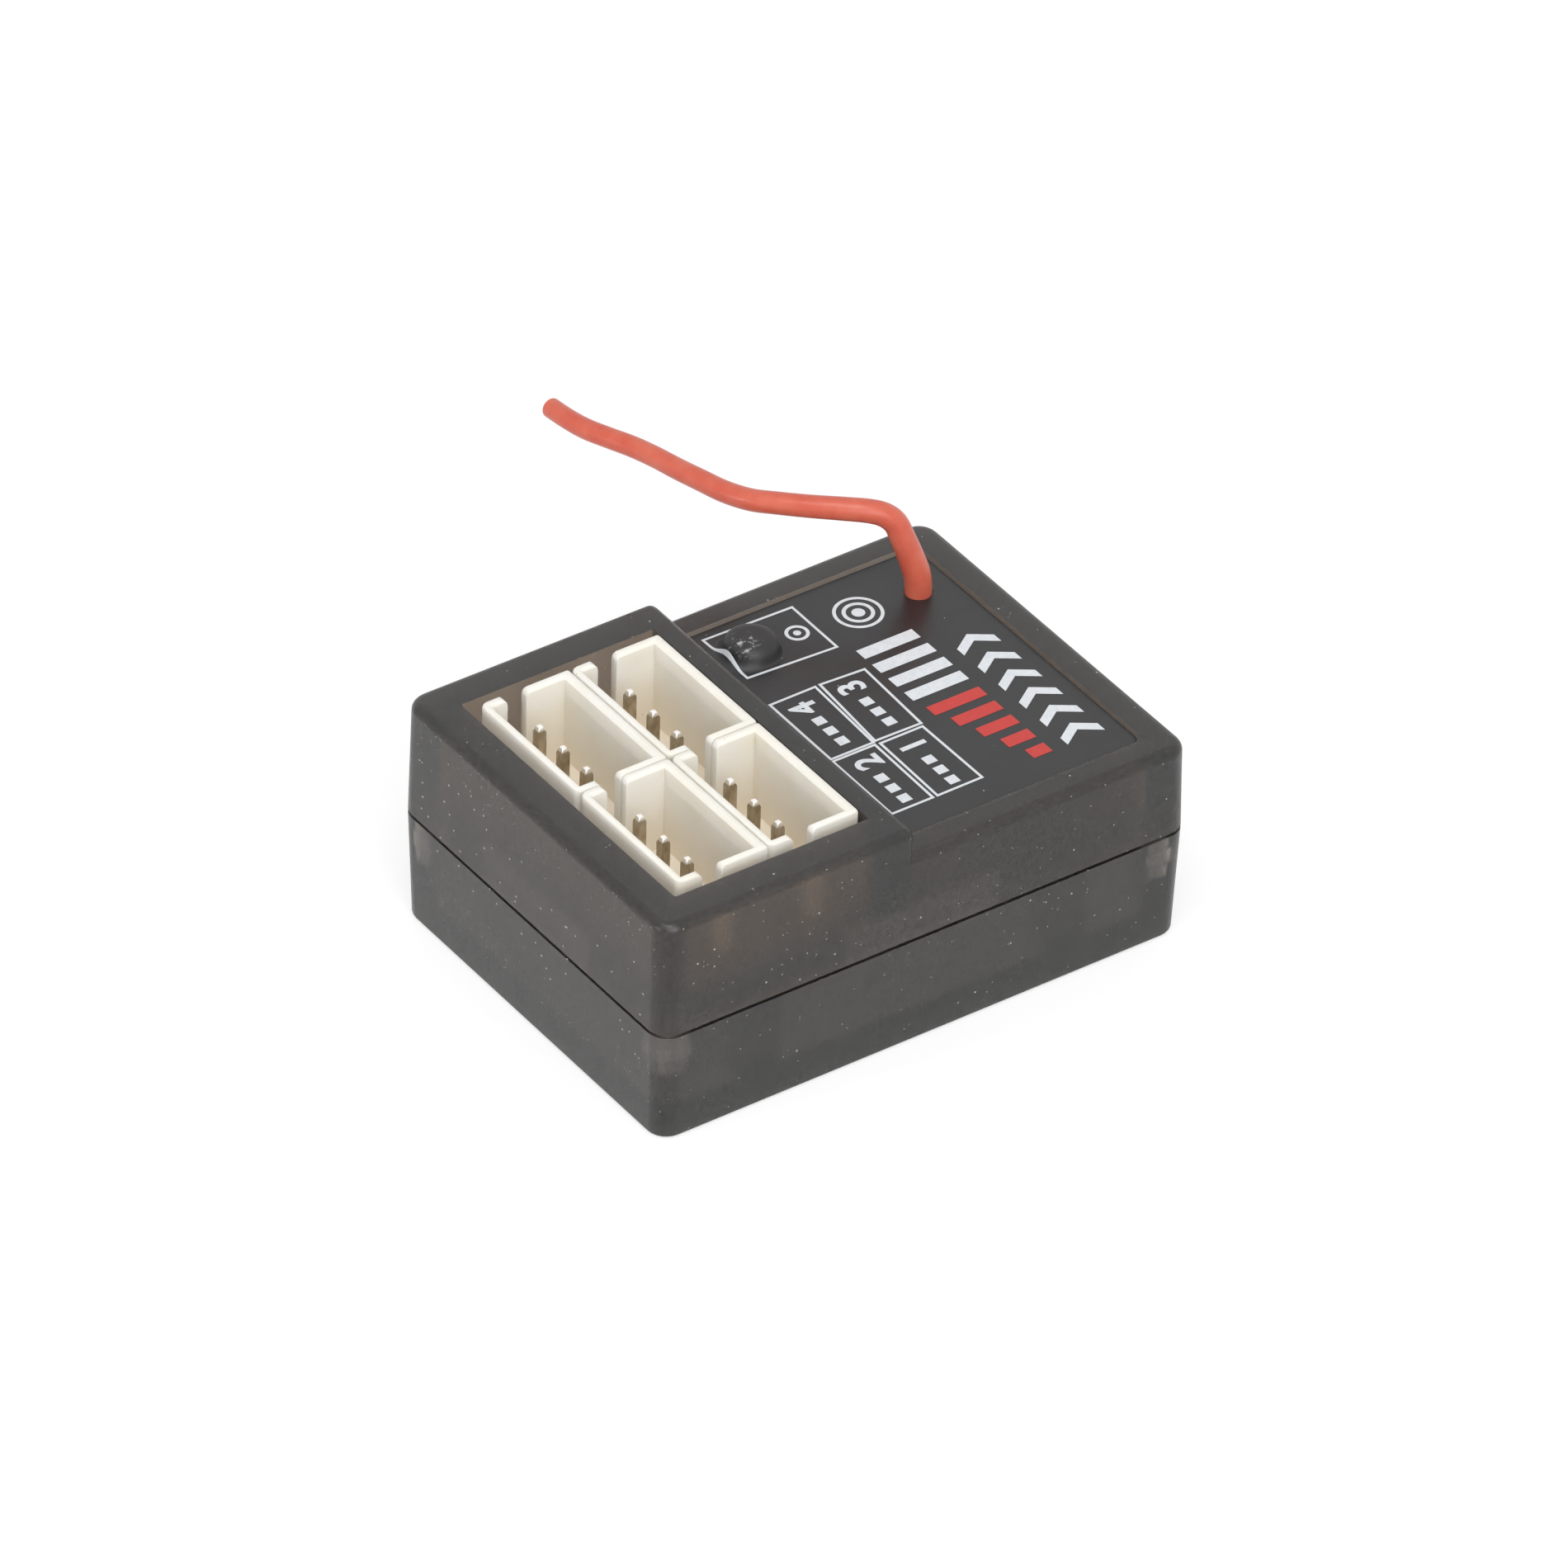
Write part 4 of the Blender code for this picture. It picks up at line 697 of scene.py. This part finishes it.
def addFrame(bm, corners, look):
    centre = (sum(c[0] for c in corners) / 4, sum(c[1] for c in corners) / 4)

    def moved(corner, by):
        return tuple(v + by * (1 if v > m else -1) for v, m in zip(corner, centre))

    lines = []
    for shift in (look["line"] / 2, -look["line"] / 2):
        loop = [moved(corner, shift) for corner in corners]
        points = []
        for a, b in zip(loop, loop[1:] + loop[:1]):
            points += betweenPoints(a, b, look["linePieces"])
        lines.append(points)
    addBand(bm, *lines, closed=True)


def addRing(bm, centre, outer, inner, sides):
    addBand(bm, circlePoints(centre, outer, sides), circlePoints(centre, inner, sides), closed=True)


def addStrip(bm, x0, x1, y0, y1):
    addBand(bm, [(x0, y0), (x1, y0)], [(x0, y1), (x1, y1)])


def addLevelBars(bm, look, ink):
    start, lengths = look[ink]
    for step, length in enumerate(lengths):
        y = start + look["pitch"] * step
        addStrip(bm, look["end"] - length, look["end"], y, y + look["width"])


# Arrow heads of two slanted bars, pointing along Y
def addArrowHeads(bm, look):
    left, right = look["left"], look["right"]
    middle = (left + right) / 2
    for step in range(look["number"]):
        y = look["start"] + look["pitch"] * step
        lines = [
            [(left, edge), (middle, edge + look["reach"]), (right, edge)]
            for edge in (y, y + look["line"])
        ]
        addBand(bm, *lines)


# A plain number, read along Y with its top towards the headers
def addNumber(bm, text, centre, look):
    curve = bpy.data.curves.new("number", "FONT")
    curve.body = text
    curve.size = look["numberSize"] * mm
    curve.align_x = "CENTER"
    curve.align_y = "CENTER"
    curve.offset = look["numberBold"] * mm
    curve.resolution_u = 6
    holder = bpy.data.objects.new("number", curve)
    mesh = bpy.data.meshes.new_from_object(holder)
    turn = Matrix.Rotation(math.pi / 2, 4, "Z")
    middle = sum((v.co for v in mesh.vertices), Vector()) / len(mesh.vertices)
    there = Matrix.Translation(Vector((*centre, printHeight(*centre))) * mm)
    mesh.transform(there @ turn @ Matrix.Translation(-middle))
    bm.from_mesh(mesh)
    bpy.data.objects.remove(holder)
    bpy.data.meshes.remove(mesh)
    bpy.data.curves.remove(curve)


def addChannelBox(bm, channel, corners, look):
    addFrame(bm, corners, look)
    middle = sum(c[0] for c in corners) / 4
    top = corners[0][1]
    addNumber(bm, str(channel), (middle, top - look["numberDrop"]), look)
    half = look["pinHalf"]
    for pin in range(3):
        y = top - look["pinDrop"] - look["pinPitch"] * pin
        addStrip(bm, middle - half, middle + half, y - half, y + half)


def makeInk(name, look):
    ink = look[name]
    material = startMaterial(f"label_{name}_ink", ink)
    place = placeOf(material)
    faded = patternOf(material, place, look["faded"])
    setShader(material, "Base Color", mixColours(material, faded, ink["colour"], ink["fadedColour"]))
    addBump(material, noiseOf(material, place, *look["texture"]), look["grain"])
    return material


def finishPrint(name, bm, look):
    bmesh.ops.triangulate(bm, faces=[face for face in bm.faces if len(face.verts) > 4])
    for face in bm.faces:
        face.smooth = False
        face.normal_update()
        if face.normal.z < 0:
            face.normal_flip()
    piece = finishPiece(f"label_print_{name}", bm, makeInk(name, look), "case")
    # The ink gets its thickness here
    thick = piece.modifiers.new("ink", "SOLIDIFY")
    thick.thickness = look["thickness"] * mm
    thick.offset = 1.0
    bpy.context.view_layer.update()
    graph = bpy.context.evaluated_depsgraph_get()
    solid = bpy.data.meshes.new_from_object(piece.evaluated_get(graph))
    piece.modifiers.clear()
    piece.data = solid
    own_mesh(piece)


def makeWhitePrint(look):
    bm = bmesh.new()
    addFrame(bm, bindBox, look)
    for channel, corners in channelBoxes.items():
        addChannelBox(bm, channel, corners, look)
    for centre, outer, inner in printRings:
        addRing(bm, centre, outer, inner, look["ringSides"])
    addLevelBars(bm, levelBars, "white")
    addArrowHeads(bm, arrowHeads)
    finishPrint("white", bm, look)


def makeRedPrint(look):
    bm = bmesh.new()
    addLevelBars(bm, levelBars, "red")
    finishPrint("red", bm, look)


makeWhitePrint(labelPrint)
makeRedPrint(labelPrint)
print("receiver: label print made")


# The pieces inside the case: two colours that mix, roughness, and scale of the mix per mm

innerFinishes = {
    "circuit_board": ((24, 64, 46), (38, 88, 62), 0.4, 0.8),
    "bind_button": ((30, 30, 31), (42, 42, 43), 0.45, 3.0),
    "bind_switch_body": ((28, 28, 29), (38, 38, 40), 0.5, 3.0),
    "radio_chip": ((30, 30, 32), (44, 44, 46), 0.55, 4.0),
    "microcontroller": ((28, 28, 30), (42, 42, 44), 0.55, 4.0),
    "voltage_regulator": ((27, 27, 29), (40, 40, 42), 0.55, 4.0),
    "input_capacitor": ((196, 148, 62), (176, 126, 46), 0.5, 2.0),
    "output_capacitor": ((172, 142, 108), (156, 124, 92), 0.5, 3.0),
    "matching_capacitor": ((176, 148, 116), (156, 128, 98), 0.5, 4.0),
    "filter_capacitor": ((176, 148, 116), (156, 128, 98), 0.5, 4.0),
    "light_resistor": ((30, 30, 32), (46, 46, 50), 0.4, 4.0),
    "pull_up_resistor": ((30, 30, 32), (46, 46, 50), 0.4, 4.0),
    "status_light": ((214, 60, 48), (236, 120, 100), 0.25, 2.0),
}
innerMetals = {
    "bind_switch_cover": (186, 186, 182),
    "bind_switch_near_contact": (196, 192, 182),
    "bind_switch_far_contact": (196, 192, 182),
    "aerial_core": (200, 196, 186),
    "aerial_solder": (182, 182, 180),
    "crystal": (196, 194, 188),
}
innerMarks = {
    "detail": 4,
    "mix": (0.35, 0.7),
    "texture": (8.0, 4, 0.6),
    "grain": 0.003,
    "metal": {"Roughness": 0.35, "Metallic": 1.0},
    "metalDull": 0.75,     # share of its brightness that the dull metal keeps
    "softEdge": 0.03,
}


def dressInside(marks):
    for name, (colour, second, roughness, scale) in innerFinishes.items():
        look = {"colour": colour, "sockets": {"Roughness": roughness}}
        material = startMaterial(f"{name}_finish", look)
        place = placeOf(material)
        share = patternOf(material, place, ((scale, marks["detail"]), marks["mix"]))
        setShader(material, "Base Color", mixColours(material, share, colour, second))
        addBump(material, noiseOf(material, place, *marks["texture"]), marks["grain"])
        paintNode(name, material)
    for name, colour in innerMetals.items():
        dull = [value * marks["metalDull"] for value in colour]
        look = {"colour": colour, "sockets": marks["metal"], "dullColour": dull}
        paintNode(name, makeMetal(f"{name}_finish", look, metalMarks))
    for name in (*innerFinishes, *innerMetals):
        softenEdges(name, marks["softEdge"], segments=2)


dressInside(innerMarks)


# The spring disc under the bind button: a shallow cap, made at rest; the real one flattens as the
# button goes down

snapDome = {
    "colour": (176, 172, 160),
    "dullColour": (132, 129, 120),
    "sockets": {"Roughness": 0.35, "Metallic": 1.0},
    "radius": 1.5,
    "rise": 0.42,
    "thickness": 0.1,
    "sides": 48,
    "rings": 10,
    "keep": 0.5,           # height left at the end of the travel
}


def makeSnapDome(look):
    low, high = (Vector(corner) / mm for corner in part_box("bind_switch_dome"))
    middle = (low + high) / 2
    foot = high.z - look["rise"] - look["thickness"]
    inner = (look["radius"] ** 2 + look["rise"] ** 2) / (2 * look["rise"])
    spread = math.asin(look["radius"] / inner)
    sides, rings = look["sides"], look["rings"]
    bm = bmesh.new()
    rims = []
    for radius in (inner + look["thickness"], inner):
        level = foot + look["rise"] - inner
        top = bm.verts.new((middle.x * mm, middle.y * mm, (level + radius) * mm))
        rows = []
        for ring in range(1, rings + 1):
            angle = spread * ring / rings
            height = level + radius * math.cos(angle)
            around = circlePoints(middle, radius * math.sin(angle), sides)
            rows.append([bm.verts.new((x * mm, y * mm, height * mm)) for x, y in around])
        for step in range(sides):
            after = (step + 1) % sides
            bm.faces.new((top, rows[0][step], rows[0][after]))
            for above, below in zip(rows, rows[1:]):
                bm.faces.new((above[step], below[step], below[after], above[after]))
        rims.append(rows[-1])
    outer, under = rims
    for step in range(sides):      # the rim between the two skins
        after = (step + 1) % sides
        bm.faces.new((outer[step], under[step], under[after], outer[after]))
    bmesh.ops.recalc_face_normals(bm, faces=bm.faces)
    material = makeMetal("snap_dome_steel", look, metalMarks)
    dome = finishPiece("snap_dome", bm, material, "case", ["bind_switch_dome"])
    smoothByAngle(dome.data, 40)
    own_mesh(dome)


makeSnapDome(snapDome)
print("receiver: inner pieces dressed")


# Floor, light and camera

studio = {
    "floorColour": (250, 250, 250),
    "floorSockets": {"Roughness": 0.9},
    "floorSize": 4.0,      # half of its side, in m
    "floorDrop": 0.02,     # below the case, in mm
    "floorGlow": 1.1,      # brightness of the floor as the camera sees it, where nothing shades it
    "floorKept": 0.42,     # share of the real shading that stays
    "worldLight": 0.66,
    "worldSeen": 1.0,
    "lamps": {             # name: (place, size, power)
        "key": ((-0.14, -0.14, 0.50), 0.30, 0.85),
        "fill": ((-0.16, -0.52, 0.30), 0.5, 1.65),
        "low": ((-0.62, 0.06, 0.15), 0.04, 0.42),   # low from the left, into the headers
    },
}


def seenDirectly(material):
    rays = addNode(material, "ShaderNodeLightPath")
    seen = mathOf(material, "MAXIMUM", rays.outputs["Is Camera Ray"], rays.outputs["Is Glossy Ray"])
    return mathOf(material, "MAXIMUM", seen, rays.outputs["Is Transmission Ray"])


def makeFloor(look):
    bm = bmesh.new()
    bmesh.ops.create_grid(bm, x_segments=8, y_segments=8, size=look["floorSize"])
    mesh = bpy.data.meshes.new("floor")
    bm.to_mesh(mesh)
    bm.free()
    floor = bpy.data.objects.new("floor", mesh)
    bpy.context.scene.collection.objects.link(floor)
    floor.location.z = -look["floorDrop"] * mm
    paper = {"colour": look["floorColour"], "sockets": look["floorSockets"]}
    material = startMaterial("floor_paper", paper)
    shader = material.node_tree.nodes["Principled BSDF"]
    light = {"Color": (1, 1, 1, 1), "Strength": look["floorGlow"]}
    glow = addNode(material, "ShaderNodeEmission", light)
    share = mathOf(material, "MULTIPLY", seenDirectly(material), 1 - look["floorKept"])
    sockets = {0: share, 1: shader.outputs[0], 2: glow.outputs[0]}
    mixed = addNode(material, "ShaderNodeMixShader", sockets)
    output = material.node_tree.nodes["Material Output"]
    material.node_tree.links.new(mixed.outputs[0], output.inputs["Surface"])
    floor.data.materials.append(material)


def makeWorld(look):
    world = bpy.data.worlds.new("studio_world")
    world.use_nodes = True
    bpy.context.scene.world = world
    lit = world.node_tree.nodes["Background"]
    lit.inputs["Color"].default_value = (1, 1, 1, 1)
    lit.inputs["Strength"].default_value = look["worldLight"]
    light = {"Color": (1, 1, 1, 1), "Strength": look["worldSeen"]}
    seen = addNode(world, "ShaderNodeBackground", light)
    sockets = {0: seenDirectly(world), 1: lit.outputs[0], 2: seen.outputs[0]}
    mixed = addNode(world, "ShaderNodeMixShader", sockets)
    world.node_tree.links.new(mixed.outputs[0], world.node_tree.nodes["World Output"].inputs["Surface"])


def makeLamp(name, place, size, power):
    light = bpy.data.lights.new(name, "AREA")
    light.shape = "DISK"
    light.size = size
    light.energy = power
    lamp = bpy.data.objects.new(name, light)
    lamp.location = place
    lamp.rotation_euler = (-Vector(place)).to_track_quat("-Z", "Y").to_euler()
    bpy.context.scene.collection.objects.link(lamp)


# The camera stands where the photograph's camera stood: angles in degrees, the rest in mm
cameraPlace = {
    "azimuth": -35.828,
    "elevation": 36.957,
    "roll": 1.626,
    "lens": 337.9,
    "sensor": 36,
    "nearest": 10,         # nothing closer than this is drawn
    "distance": 715.2,
    "right": -0.360,
    "up": 6.578,
}


def makeCamera(look):
    azimuth, elevation, roll = (math.radians(look[key]) for key in ("azimuth", "elevation", "roll"))
    flat = math.cos(elevation)
    back = Vector((math.sin(azimuth) * flat, -math.cos(azimuth) * flat, math.sin(elevation)))
    level = Vector((math.cos(azimuth), math.sin(azimuth), 0))
    rise = back.cross(level)
    right = level * math.cos(roll) + rise * math.sin(roll)
    up = rise * math.cos(roll) - level * math.sin(roll)
    data = bpy.data.cameras.new("camera")
    data.lens = look["lens"]
    data.sensor_width = look["sensor"]
    data.clip_start = look["nearest"] * mm
    camera = bpy.data.objects.new("camera", data)
    matrix = Matrix((right, up, back)).transposed().to_4x4()
    matrix.translation = (back * look["distance"] + right * look["right"] + up * look["up"]) * mm
    camera.matrix_world = matrix
    bpy.context.scene.collection.objects.link(camera)
    bpy.context.scene.camera = camera


makeFloor(studio)
makeWorld(studio)
for lampName, (place, size, power) in studio["lamps"].items():
    makeLamp(f"{lampName}_lamp", place, size, power)
makeCamera(cameraPlace)
bpy.context.scene.view_settings.view_transform = "Standard"
print("receiver: floor, light and camera set")
